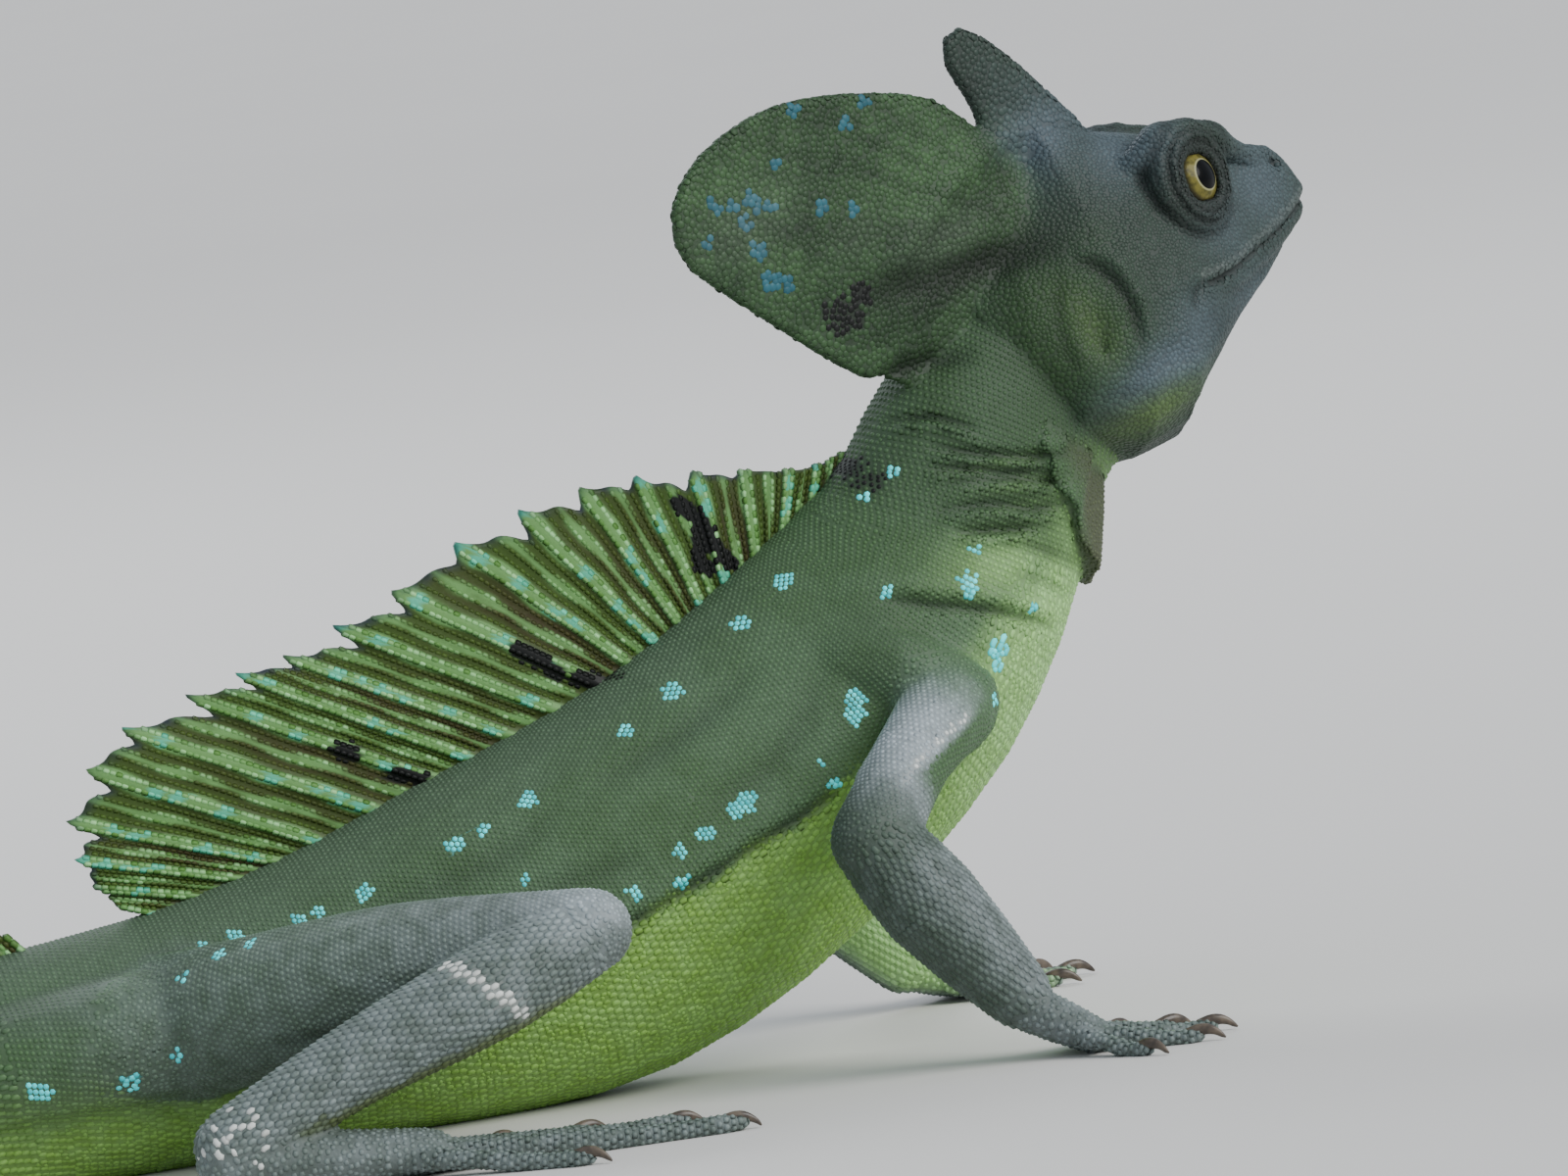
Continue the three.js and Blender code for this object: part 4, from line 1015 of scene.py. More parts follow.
# %% Colours of the hide
# The light slate paints the highlights on the limbs and the light belly green paints the chest as lit; both
# also give pale tones to the mottling.
PAINT = {
    "flank": (0.058, 0.122, 0.046), "flank_light": (0.092, 0.168, 0.086), "back": (0.078, 0.120, 0.078),
    "belly": (0.180, 0.350, 0.055), "belly_pale_and_lit": (0.330, 0.590, 0.220), "green": (0.020, 0.050, 0.015),
    "casque": (0.044, 0.098, 0.036), "casque_dark": (0.016, 0.040, 0.014), "head": (0.024, 0.041, 0.030),
    "slate": (0.114, 0.142, 0.132), "slate_pale_and_highlight": (0.400, 0.460, 0.490), "cool": (0.070, 0.098, 0.118),
    "moss": (0.072, 0.120, 0.040), "lid": (0.012, 0.018, 0.014), "flap": (0.076, 0.090, 0.046),
    "calf": (0.096, 0.128, 0.036), "steel": (0.020, 0.098, 0.125), "turquoise": (0.010, 0.440, 0.500),
    "turquoise_light": (0.090, 0.980, 1.000), "black": (0.004, 0.005, 0.004), "cream": (0.700, 0.720, 0.680),
}
# Paints laid over the rest one after another, each as far as its marking and this share say.
OVERLAYS = [("calf", 0.85), ("flap", 1.0), ("green", 1.0), ("cool", 1.0), ("moss", 1.0), ("lid", 0.85)]


def hide_colour(look):
    """The colour of skin or scale from its markings."""
    cloud = look.between(look.noise(16), 0.35, 0.65)
    mottle = look.between(look.noise(3.2, 4), 0.3, 0.7)
    colour = look.mix(PAINT["flank"], PAINT["flank_light"], cloud * 0.65 + mottle * 0.3)
    colour = look.mix(colour, PAINT["back"], look.mark("back") * 0.8)
    colour = look.mix(colour, PAINT["head"], look.mark("skull"))
    casque = look.mix(PAINT["casque_dark"], PAINT["casque"], cloud * 0.6 + mottle * 0.4)
    colour = look.mix(colour, casque, look.mark("casque"))
    # Painted light: the belly turns its lighter green where the bright marking paints the chest as lit, and
    # the slate its pale highlight on the limbs.
    belly = look.mix(PAINT["belly"], PAINT["belly_pale_and_lit"], look.mark("bright") * 0.7 + mottle * 0.25)
    colour = look.mix(colour, belly, look.mark("belly"))
    slate = look.mix(PAINT["slate"], PAINT["slate_pale_and_highlight"], look.mark("bright") * 0.7 + mottle * 0.3)
    colour = look.mix(colour, slate, look.mark("limb"))
    for name, share in OVERLAYS:
        colour = look.mix(colour, PAINT[name], look.mark(name) * share)
    # The dark marking: painted shade on the head, with the casque's dark rays and the tail's bands.
    colour = look.shade(colour, 1 - look.mark("dark") * 0.75)
    colour = look.shade(colour, 1 - look.mark("margin") * 0.7)
    light = look.mark("grain") * 0.5 + 0.5
    turquoise = look.mix(PAINT["turquoise"], PAINT["turquoise_light"], light)
    turquoise = look.mix(turquoise, PAINT["steel"], look.mark("casque"))
    colour = look.mix(colour, turquoise, look.between(look.mark("spot"), 0.4, 0.7))
    colour = look.mix(colour, PAINT["cream"], look.mark("pale") * 0.85)
    colour = look.mix(colour, PAINT["black"], look.mark("black"))
    # Painted shade along the carved folds and creases.
    return look.shade(colour, 1 - look.mark("crease") * 0.66)


def skin_finish():
    look = Finish("skin between the scales")
    # Painted shade: the skin between the scales darker than the scales, with a little random variation.
    colour = look.shade(hide_colour(look), 0.62 + look.noise(0.7) * 0.3)
    grains = look.cells(0.55)
    return look.finish(Base_Color=colour, Roughness=0.62, Normal=look.bump(grains, 0.5, 0.12))


def scale_finish():
    look = Finish("scales")
    colour = hide_colour(look)
    colour = look.shade(colour, 0.86 + look.mark("grain") * 0.3)
    # Painted shade: each scale darker at its rim, where it sinks into the skin, than at its crown.
    colour = look.shade(colour, 0.66 + look.between(look.mark("crown"), 0.0, 0.45) * 0.4)
    rough = 0.40 + look.noise(1.4) * 0.22 + look.mark("crease") * 0.15
    bump = look.bump(look.noise(0.35), 0.25, 0.05)
    return look.finish(Base_Color=colour, Roughness=rough, Specular_IOR_Level=0.3, Normal=bump)


SKIN, SCALES = skin_finish(), scale_finish()
skin.data.materials.clear()
skin.data.materials.append(SKIN)
print("finishes:", SKIN.name, "and", SCALES.name)

# %% [markdown]
# ## Where the scales sit
# On the trunk, neck, tail and limbs the scales run in rings round the body, each ring shifted by half a
# scale against the last. So rays go out from the middle of the body, ring after ring, and where a ray
# leaves the skin a scale takes root. Near the joints rays can leave through the wrong part, and such hits
# are dropped, as are roots too close to one that is already taken.

# %% Rings of roots
roots = {"at": [], "way": [], "lie": [], "field": []}
taken = {}
CELL = 0.9
# How far apart the rings lie, and how near two scales may come, as shares of the pitch.
ROW = 0.87
CROWDED = 0.62


def is_free(p, gap):
    """True, and noted as taken, if no root lies within the gap."""
    cx, cy, cz = (int(math.floor(v / CELL)) for v in p)
    for i in (cx - 1, cx, cx + 1):
        for j in (cy - 1, cy, cy + 1):
            for k in (cz - 1, cz, cz + 1):
                for q in taken.get((i, j, k), ()):
                    if (p[0] - q[0]) ** 2 + (p[1] - q[1]) ** 2 + (p[2] - q[2]) ** 2 < gap * gap:
                        return False
    taken.setdefault((cx, cy, cz), []).append(p)
    return True


def root_all(field, points, ways, lies, gap):
    """Adds the free ones of these places to the roots of a field."""
    for p, way, lie in zip(points.tolist(), ways.tolist(), lies.tolist()):
        if is_free(p, gap):
            roots["at"].append(p)
            roots["way"].append(way)
            roots["lie"].append(lie)
            roots["field"].append(field)


def evenly(stations, start, end, spacing):
    """Shares along a chain at even distances."""
    fine = np.linspace(start, end, 600)
    steps = np.linalg.norm(np.diff(smooth_line(stations, fine)[:, :3], axis=0), axis=1)
    length = np.concatenate([[0], np.cumsum(steps)])
    return np.interp(np.arange(spacing / 2, length[-1], spacing), length, fine)


def rings(field, stations, pitch, parts, start=0.0, end=None, up=UP, choose=None, forward=-1):
    """Lays a field of roots in rings round a chain, on the named parts only."""
    shares = evenly(stations, start, len(stations) - 1 if end is None else end, pitch * ROW)
    middle, ahead, side, top = line_axes(stations, shares, up)
    probes = np.linspace(0, 2 * np.pi, 10, endpoint=False)
    points, ways, lies = [], [], []

    def leave(i, a):
        """Where a ray from the middle of ring i leaves the skin at an angle."""
        way = Vector(side[i] * math.cos(a) + top[i] * math.sin(a))
        return skin_tree.ray_cast(Vector(middle[i]) * MM, way)

    for i in range(len(shares)):
        reach = [hit[3] / MM if hit[0] else 1.0 for hit in (leave(i, a) for a in probes)]
        count = max(5, round(2 * math.pi * float(np.median(reach)) / pitch))
        for k in range(count):
            hit, normal, _, _ = leave(i, 2 * math.pi * (k + 0.5 * (i % 2)) / count + math.pi / 2)
            if hit:
                points.append(np.array(hit) / MM)
                ways.append(np.array(normal))
                lies.append(ahead[i] * forward)
    points, ways, lies = np.array(points), np.array(ways), np.array(lies)
    kept_here = is_part(parts_at(points), *parts)
    if choose is not None:
        kept_here &= choose(points)
    root_all(field, points[kept_here], ways[kept_here], lies[kept_here], pitch * CROWDED)


def below_fold(points):
    return points[:, 2] < np.interp(points[:, 0], *np.array(BELLY_LINE).T)


def above_fold(points):
    return ~below_fold(points)


# %% [markdown]
# The head has no rings: its scales are pebbles of many sizes. There Geometry Nodes scatter the roots over
# the faces, no two nearer than a set distance. One row of longer plates borders the mouth on each side.

# %% Pebbles by Geometry Nodes
def add_node(tree, kind, settings=None, values=None):
    """Adds a node to a tree: settings first, then a value or an output to link for each input."""
    made = tree.nodes.new(kind)
    for key, value in (settings or {}).items():
        setattr(made, key, value)
    for key, value in (values or {}).items():
        if isinstance(value, bpy.types.NodeSocket):
            tree.links.new(value, made.inputs[key])
        else:
            made.inputs[key].default_value = value
    return made


def new_tree(name, inputs):
    tree = bpy.data.node_groups.new(name, "GeometryNodeTree")
    tree.interface.new_socket(name="Geometry", in_out="INPUT", socket_type="NodeSocketGeometry")
    for label, kind in inputs.items():
        tree.interface.new_socket(name=label, in_out="INPUT", socket_type=kind)
    tree.interface.new_socket(name="Geometry", in_out="OUTPUT", socket_type="NodeSocketGeometry")
    return tree, tree.nodes.new("NodeGroupInput"), tree.nodes.new("NodeGroupOutput")


def named(tree, name, kind="FLOAT"):
    reader = add_node(tree, "GeometryNodeInputNamedAttribute", {"data_type": kind}, {"Name": name})
    return reader.outputs["Attribute"]


def pebble_tree():
    tree, given, result = new_tree("pebbles", {"Gap": "NodeSocketFloat", "Seed": "NodeSocketInt"})
    scatter = add_node(tree, "GeometryNodeDistributePointsOnFaces", {"distribute_method": "POISSON"}, {
        "Mesh": given.outputs["Geometry"], "Distance Min": given.outputs["Gap"], "Density Max": 6e6,
        "Density Factor": named(tree, "field"), "Seed": given.outputs["Seed"]})
    note = add_node(
        tree, "GeometryNodeStoreNamedAttribute", {"data_type": "FLOAT_VECTOR", "domain": "POINT"},
        {"Geometry": scatter.outputs["Points"], "Name": "way", "Value": scatter.outputs["Normal"]})
    solid = add_node(tree, "GeometryNodePointsToVertices", {}, {"Points": note.outputs["Geometry"]})
    tree.links.new(solid.outputs["Mesh"], result.inputs["Geometry"])
    return tree


def run_tree(piece, tree, **values):
    """Puts a tree on a piece with its named inputs set, and turns the result into the piece's plain mesh."""
    layer = piece.modifiers.new(tree.name, "NODES")
    layer.node_group = tree
    for item in tree.interface.items_tree:
        if item.in_out == "INPUT" and item.name in values:
            layer[item.identifier] = values[item.name]
    return settle(piece)


PEBBLES = pebble_tree()


def scatter(field, here, gap, lie):
    """Pebbles over the skin's points that here names, with their tips lying one way."""
    cloth = in_scene("cloth", skin.data.copy())
    keep_on(cloth.data, field=here)
    run_tree(cloth, PEBBLES, Gap=gap * MM, Seed=5)
    points = points_of(cloth.data)
    ways = unit(read_all(cloth.data.attributes["way"].data, "vector", 3))
    bpy.data.objects.remove(cloth)
    root_all(field, points, ways, np.tile(lie, (len(points), 1)), gap * 0.8)


def plates_along(field, line, spacing):
    """Plates in a row on the skin along a line."""
    length = np.concatenate([[0], np.cumsum(np.linalg.norm(np.diff(line, axis=0), axis=1))])
    at = np.arange(spacing / 2, length[-1], spacing)
    places = np.stack([np.interp(at, length, line[:, k]) for k in range(3)], 1)
    lies = unit(np.stack([np.interp(at, length, np.gradient(line[:, k])) for k in range(3)], 1))
    hits = [skin_tree.find_nearest(Vector(p) * MM) for p in places]
    points, ways = (np.array([hit[k] for hit in hits]) for k in (0, 1))
    root_all(field, points / MM, ways, lies, spacing * 0.5)


# %% Root every field
TRUNK = ("pelvis", "abdomen", "chest")
BACKWARD = -head_axes()[0]
FORWARD = np.array([1.0, 0, 0])
DOWN_BONE = np.array([0.6, 0, -0.8])
LIP_ROWS = 1.35
# For each bone: the field of its scales, their pitch and the station where its rings start.
LIMB_RINGS = {"upper_arm": ("haunches", 0.95, 1.0), "forearm": ("limbs", 1.12, 0.2),
              "thigh": ("haunches", 0.95, 1.0), "shank": ("limbs", 1.3, 0.2)}
for side in (RIGHT, LEFT):
    for height in (LIP_ROWS, -LIP_ROWS):
        plates_along("lips", head_line(shifted(MOUTH, 0, height), side), 1.9)
rings("belly", SPINE, 1.25, TRUNK, 9.0, 22.0, choose=below_fold)
rings("flank", SPINE, 0.86, TRUNK, 9.0, 22.5, choose=above_fold)
rings("neck", SPINE, 0.9, ("neck",), 17.5, 23.0)
rings("tail", SPINE, 1.35, ("tail",), 5.0, 10.6)
rings("tail", SPINE, 1.6, ("tail",), 0.3, 5.0)
for name, stations in LIMBS.items():
    bone = name.rsplit("_", 1)[0]
    field, pitch, start = LIMB_RINGS[bone]
    rings(field, stations, pitch, (name,), start, up=FORWARD if bone == "forearm" else UP, forward=1)
for name, paw, side in PAWS:
    for index in range(len(paw["digits"])):
        rings("paws", digit_line(paw, index, side), 1.15, (name,), forward=1)
near_eye = eye_gap(shape)
on_head = is_part(owner, "head", "lower_jaw") & (bare < 0.45)
scatter("lids", on_head & (near_eye < 8.6) & (near_eye > 5.2), 0.46, BACKWARD)
scatter("head", on_head & (to_head(shape)[:, 0] > 29) & (near_eye > 8.0), 0.72, BACKWARD)
scatter("head", on_head & (near_eye > 8.0), 0.52, BACKWARD)
scatter("casque", is_part(owner, "crest"), 0.7, BACKWARD)
scatter("neck", is_part(owner, "throat_fold"), 0.62, np.array([-0.6, 0, -0.8]))
scatter("neck", is_part(owner, "neck"), 0.72, BACKWARD)
scatter("paws", is_part(owner, "hand", "foot"), 0.85, FORWARD)
scatter("limbs", is_part(owner, "forearm", "shank"), 0.95, DOWN_BONE)
scatter("haunches", is_part(owner, "upper_arm", "thigh"), 0.66, DOWN_BONE)
scatter("flank", is_part(owner, *TRUNK), 0.72, BACKWARD)
scatter("tail", is_part(owner, "tail"), 1.1, BACKWARD)
roots = {key: np.array(values) for key, values in roots.items()}
fields = dict.fromkeys(roots["field"])
print("roots:", {name: int((roots["field"] == name).sum()) for name in fields}, passed())

# %% The size of each scale, from its neighbours
BARE_LIMIT = 0.5
SMALLEST, LARGEST = 0.5, 2.2
OVERLAP = 1.1
SPOT_GROWTH = 0.28


def tree_of(points):
    tree = KDTree(len(points))
    for i, p in enumerate(points.tolist()):
        tree.insert(p, i)
    tree.balance()
    return tree


def spacing_of(points, neighbours=5):
    """The mean distance of each point from its nearest neighbours."""
    tree = tree_of(points)
    return np.array([np.mean([d for _, _, d in tree.find_n(p, neighbours + 1)[1:]]) for p in points.tolist()])


def skin_values(points, *names):
    """The skin's own values at the point of it nearest to each place."""
    tree = tree_of(shape)
    nearest = np.array([tree.find(p)[1] for p in points.tolist()])
    return [kept(skin.data, name)[nearest] for name in names]


luck = chance.random(len(roots["at"]))
root_owner = parts_at(roots["at"])
root_marks = markings(roots["at"], roots["way"], root_owner, luck)
from_skin = skin_values(roots["at"], "crease", "bare", *BLENDED)
root_crease, root_bare = from_skin[:2]
for name, values in zip(BLENDED, from_skin[2:]):
    if name != "belly":
        root_marks[name] = values
root_size = np.clip(spacing_of(roots["at"]) * OVERLAP, SMALLEST, LARGEST)
root_size = root_size * (1 + SPOT_GROWTH * root_marks["spot"])
grain = chance.random(len(luck))
covered = root_bare < BARE_LIMIT
print("scales:", int(covered.sum()), "of", round(root_size.min(), 2), "to", round(root_size.max(), 2), "mm")

# %% [markdown]
# ## Scales
# A scale stands on a six-sided foot and has ten to twenty-two triangles, because there are tens of
# thousands. On the flanks, the neck, the haunches and the paws it is a low dome, and on the head and the
# casque a pebble with a flat crown. On the belly, the tail and the lower limbs it is longer and has a keel.
# One tree of Geometry Nodes sets a scale on every root, turned by the normal and by the way the coat lies,
# at its own size, and makes the instances real. Each scale keeps a small patch of a map called OFBake. The
# patch sits at the root's place on an unwrap of the body: each part is unrolled round its own long axis,
# one tile for each part.

# %% Shapes of a scale
PATCH = 0.003
UNDERSIDE = [(0, 5, 4), (0, 4, 3), (0, 3, 2), (0, 2, 1)]


def hexagon(long, wide, height):
    return [(math.cos(a) * long, math.sin(a) * wide, height) for a in np.radians(np.arange(0, 360, 60))]


def scale_shape(name, long, wide, high, sunk, ridge=0, lift=0.0):
    """A scale of size 1: a foot and a point, or a ridge from back to front whose back end is lifted."""
    if ridge:
        top = [(ridge / 2, 0, high + lift), (-ridge / 2, 0, high * 0.8)]
        faces = [(0, 1, 6), (1, 7, 6), (1, 2, 7), (2, 3, 7), (3, 4, 7), (4, 6, 7), (4, 5, 6), (5, 0, 6)]
    else:
        top = [(0, 0, high)]
        faces = [(k, (k + 1) % 6, 6) for k in range(6)]
    return finished_scale(name, hexagon(long / 2, wide / 2, -sunk) + top, faces, [0.0] * 6 + [1.0] * len(top))


def flat_scale(name, long, wide, high, sunk, crown=0.36):
    """A scale with a flat six-sided crown inside its foot, for where the coat is smooth."""
    shoulder = hexagon(long * crown, wide * crown, high * 0.85)
    points = hexagon(long / 2, wide / 2, -sunk) + shoulder + [(0, 0, high)]
    faces = [(6 + k, 6 + (k + 1) % 6, 12) for k in range(6)]
    for k in range(6):
        n = (k + 1) % 6
        faces += [(k, n, 6 + n), (k, 6 + n, 6 + k)]
    return finished_scale(name, points, faces, [0.0] * 6 + [0.8] * 6 + [1.0])


def finished_scale(name, points, faces, crown):
    """The mesh of a scale with its crown value, from which its paint darkens the rim as painted shade, and
    its patch of the map.
    """
    faces = faces + UNDERSIDE
    mesh = bpy.data.meshes.new(name)
    mesh.from_pydata(points, [], faces)
    mesh.polygons.foreach_set("use_smooth", [True] * len(faces))
    keep_on(mesh, crown=crown)
    patch = mesh.uv_layers.new(name="OFBake")
    for corner in mesh.loops:
        x, y, _ = points[corner.vertex_index]
        patch.data[corner.index].uv = (x * PATCH, y * PATCH)
    return bpy.data.objects.new(name, mesh)


GRANULE = scale_shape("granule", 1.06, 1.12, 0.2, 0.12)
PEBBLE = flat_scale("pebble", 1.12, 1.12, 0.16, 0.14)
KEELED = scale_shape("keeled scale", 1.34, 1.02, 0.22, 0.14, 0.5, 0.1)
PLATE = scale_shape("lip plate", 1.5, 0.9, 0.16, 0.12, 0.6)
BEAD = scale_shape("bead", 1.24, 0.98, 0.2, 0.12, 0.55)


def coat_tree():
    inputs = {"Scale shape": "NodeSocketObject", "Finish": "NodeSocketMaterial", "Relief": "NodeSocketFloat"}
    tree, given, result = new_tree("lay scales", inputs)
    shape_in = add_node(tree, "GeometryNodeObjectInfo", {}, {"Object": given.outputs["Scale shape"]})
    way, lie = (named(tree, name, "FLOAT_VECTOR") for name in ("way", "lie"))
    stand = add_node(tree, "FunctionNodeAlignRotationToVector", {"axis": "Z"}, {"Vector": way})
    turned = add_node(tree, "FunctionNodeAlignRotationToVector", {"axis": "X", "pivot_axis": "Z"}, {
        "Rotation": stand.outputs["Rotation"], "Vector": lie})
    size = named(tree, "size")
    relief = given.outputs["Relief"]
    height = add_node(tree, "ShaderNodeMath", {"operation": "MULTIPLY"}, {0: size, 1: relief})
    spread = add_node(tree, "ShaderNodeCombineXYZ", {}, {"X": size, "Y": size, "Z": height.outputs["Value"]})
    lay = add_node(tree, "GeometryNodeInstanceOnPoints", {}, {
        "Points": given.outputs["Geometry"], "Instance": shape_in.outputs["Geometry"],
        "Rotation": turned.outputs["Rotation"], "Scale": spread.outputs["Vector"]})
    real = add_node(tree, "GeometryNodeRealizeInstances", {}, {"Geometry": lay.outputs["Instances"]})
    dress = add_node(tree, "GeometryNodeSetMaterial", {}, {
        "Geometry": real.outputs["Geometry"], "Material": given.outputs["Finish"]})
    tree.links.new(dress.outputs["Geometry"], result.inputs["Geometry"])
    return tree


COAT = coat_tree()


def unrolled(points, owner):
    """Each place on an unwrap of the body, one tile for each part, each part unrolled round its long axis."""
    parts = np.unique(owner)
    tiles = math.ceil(math.sqrt(len(parts)))
    made = np.zeros((len(points), 2))
    for tile, part in enumerate(parts):
        here = owner == part
        body = points_of(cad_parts[PARTS[part]].data)
        middle = body.mean(0)
        axes = np.linalg.svd(body - middle, full_matrices=False)[2]
        along, across, up = ((points[here] - middle) @ axes.T).T
        extent = (body - middle) @ axes[0]
        share = (along - extent.min()) / (extent.max() - extent.min())
        turn = np.arctan2(up, across) / (2 * np.pi) + 0.5
        corner = np.array([tile % tiles, tile // tiles])
        made[here] = (corner + 0.04 + 0.92 * np.clip(np.stack([share, turn], 1), 0, 1)) / tiles
    return made


def lay_coat(name, points, ways, lies, sizes, values, owner, shape_object, relief, finish):
    """One piece of coat: scales on these roots, as a plain mesh with its markings and its OFBake map."""
    mesh = bpy.data.meshes.new(name)
    mesh.from_pydata((points * MM).tolist(), [], [])
    place = unrolled(points, owner)
    keep_on(mesh, size=sizes * MM, u=place[:, 0], v=place[:, 1], **values)
    for key, vectors in (("way", ways), ("lie", lies)):
        noted = mesh.attributes.new(key, "FLOAT_VECTOR", "POINT")
        noted.data.foreach_set("vector", np.asarray(vectors, np.float32).ravel())
    piece = in_scene(name, mesh)
    run_tree(piece, COAT, **{"Scale shape": shape_object, "Finish": finish, "Relief": relief})
    mesh = piece.data
    corner = read_all(mesh.loops, "vertex_index", kind=int)
    chart = mesh.attributes["OFBake"].data
    root = np.stack([kept(mesh, "u"), kept(mesh, "v")], 1)[corner]
    chart.foreach_set("vector", (read_all(chart, "vector", 2) + root).ravel())
    for key in ("size", "u", "v", "way", "lie"):
        mesh.attributes.remove(mesh.attributes[key])
    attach(piece, "root")
    print(name, "-", len(points), "scales,", triangles_of(mesh), "triangles")
    return piece


# %% Lay the coat, field by field
# For each field: the shape of its scales and how much of its height they show.
FIELDS = {
    "flank": (GRANULE, 0.85), "belly": (KEELED, 0.4), "neck": (GRANULE, 0.9), "tail": (KEELED, 0.8),
    "limbs": (KEELED, 0.7), "haunches": (GRANULE, 0.8), "paws": (GRANULE, 0.9), "head": (PEBBLE, 0.5),
    "lids": (PEBBLE, 0.6), "lips": (PLATE, 0.8), "casque": (PEBBLE, 0.55),
}
coat_triangles = 0
of_head = np.isin(roots["field"], ["head", "lids", "lips", "casque"])
on_left = np.where(of_head, to_head(roots["at"])[:, 1], roots["at"][:, 1]) > 0
root_marks |= {"grain": grain, "crease": root_crease}
for field, (shape_object, relief) in FIELDS.items():
    for side, label in BOTH:
        here = np.where((roots["field"] == field) & covered & (on_left == (side == LEFT)))[0]
        values = {name: value[here] for name, value in root_marks.items()}
        at, way, lie = (roots[key][here] for key in ("at", "way", "lie"))
        piece = lay_coat(f"scales_{field}_{label}", at, way, lie, root_size[here], values, root_owner[here],
                         shape_object, relief, SCALES)
        coat_triangles += triangles_of(piece.data)
print("coat:", coat_triangles, "triangles", passed())

# %% [markdown]
# ## The two fin crests
# The sail along the back and the lower one along the tail are thin skin over bony rays. Each strong ray
# shows as a raised rib from root to tip, with a weaker rib between, and the edge dips between the tips.
# The sail is a sheet with two faces, made thicker along its ribs, from a table of where each ray starts
# and ends. Bead-like scales run along it in rows, and the same tree lays them.

# %% Rays of the sail and of the tail crest
# Each strong ray of the sail: x and z of its root, then of its tip.
BACK_RAYS = [
    [70.5, 86, 71, 87.2], [65.5, 82, 66.8, 85.6], [60.5, 78, 62.4, 85.8], [55.6, 74.6, 56, 86.8],
    [50.6, 71.6, 48.4, 87.9], [46.4, 69, 40, 88.4], [42.6, 66.8, 31.6, 88], [38.6, 64.6, 22, 86.2],
    [34, 62.4, 12.2, 82.9], [28.7, 60, 1.9, 77.4], [21.8, 57.2, -7.4, 73.8], [14.8, 54.6, -15.1, 70.6],
    [8.6, 52.2, -22.5, 69.2], [2.6, 50, -30.1, 67.2], [-6.1, 46.8, -39.9, 64], [-15, 43.6, -46, 58.8],
    [-22, 41.8, -49.9, 51.8], [-28, 40.2, -49.6, 46.2], [-34.4, 38.6, -47.2, 41.6], [-41, 37, -44.4, 38.4],
]
TAIL_CREST = {"from": 10.3, "to": 4.5, "rays": 24}
# Along the tail crest: the share of its length, its height and how steeply its rays stand, in degrees.
TAIL_SHAPE = [[0, 3, 50], [0.1, 9, 44], [0.25, 20, 40], [0.42, 23, 40], [0.58, 19, 42], [0.75, 12, 45],
              [0.9, 6, 48], [1, 1.6, 50]]
SUNK = 2.5
LANES = 6
BLACK_STROKES = [
    [(45.3, 83.7), (48.1, 80.7), (50.1, 76), (51.9, 73.6)], [(48.1, 80.7), (47.2, 74.3), (48.9, 73.3)],
    [(18.5, 66.2), (21.2, 64.7), (24.4, 61.3)], [(26.6, 60.9), (31.4, 58.7)], [(-9.2, 55.8), (-6.9, 55)],
    [(-1.9, 51.1), (2.3, 49.7)],
]


def between_rows(rows, share):
    """Rows of a table evened out by a curve; share counts rows from 0."""
    rows = np.asarray(rows, float)
    share = np.clip(np.atleast_1d(share), 0, len(rows) - 1)
    start = np.minimum(share.astype(int), len(rows) - 2)
    w = (share - start)[:, None]
    padded = np.vstack([2 * rows[0] - rows[1], rows, 2 * rows[-1] - rows[-2]])
    a, b, c, d = (padded[start + k] for k in range(4))
    return 0.5 * (2 * b + (c - a) * w + (2 * a - 5 * b + 4 * c - d) * w**2 + (3 * b - a - 3 * c + d) * w**3)


def rib_of(u, rays):
    """How much of a strong rib there is at u, and of the weak one between."""
    return np.cos(np.pi * u * rays) ** 4, 0.5 * np.sin(np.pi * u * rays) ** 4


def tooth(u, rays, deep):
    """How far the edge is cut back at u: at once behind a ray's tip, then less and less to the next."""
    w = (u * rays) % 1
    shape_of_tooth = soft_step(w, 0.0, 0.3) * (1 - w) ** 0.7 * (1 + 0.25 * np.sin(w * 9))
    return deep * shape_of_tooth * soft_step(u, 0.04, 0.25) * (1 + 0.35 * np.sin(np.floor(u * rays) * 2.1))


def sail_lines(u):
    """Root, tip and sideways direction of the sail at shares u of its length."""
    rays = len(BACK_RAYS) - 1
    row = between_rows(BACK_RAYS, u * rays)
    root = np.stack([row[:, 0], 0 * u, row[:, 1]], 1)
    tip = np.stack([row[:, 2], 0 * u, row[:, 3]], 1)
    low = root - unit(tip - root) * SUNK
    high = root + (tip - root) * (1 - tooth(u, rays, 0.155))[:, None]
    return low, high, np.tile([0.0, 1.0, 0.0], (len(u), 1))


def tail_lines(u):
    """The same for the tail crest, which rises from the top of the tail."""
    share = TAIL_CREST["from"] + (TAIL_CREST["to"] - TAIL_CREST["from"]) * u
    middle, ahead, side, top = line_axes(SPINE, share)
    above = smooth_line(SPINE, share)[:, 4]
    low = middle + top * (above - 2)[:, None]
    keys = np.interp(u, [row[0] for row in TAIL_SHAPE], range(len(TAIL_SHAPE)))
    _, height, steep = between_rows(TAIL_SHAPE, keys).T
    lean = np.radians(steep)
    reach = 2 + height / np.sin(lean) * 0.8 * (1 - tooth(u, TAIL_CREST["rays"], 0.14))
    back = unit(-ahead * [1, 1, 0])
    high = low + back * (np.cos(lean) * reach)[:, None] + UP * (np.sin(lean) * reach)[:, None]
    return low, high, side


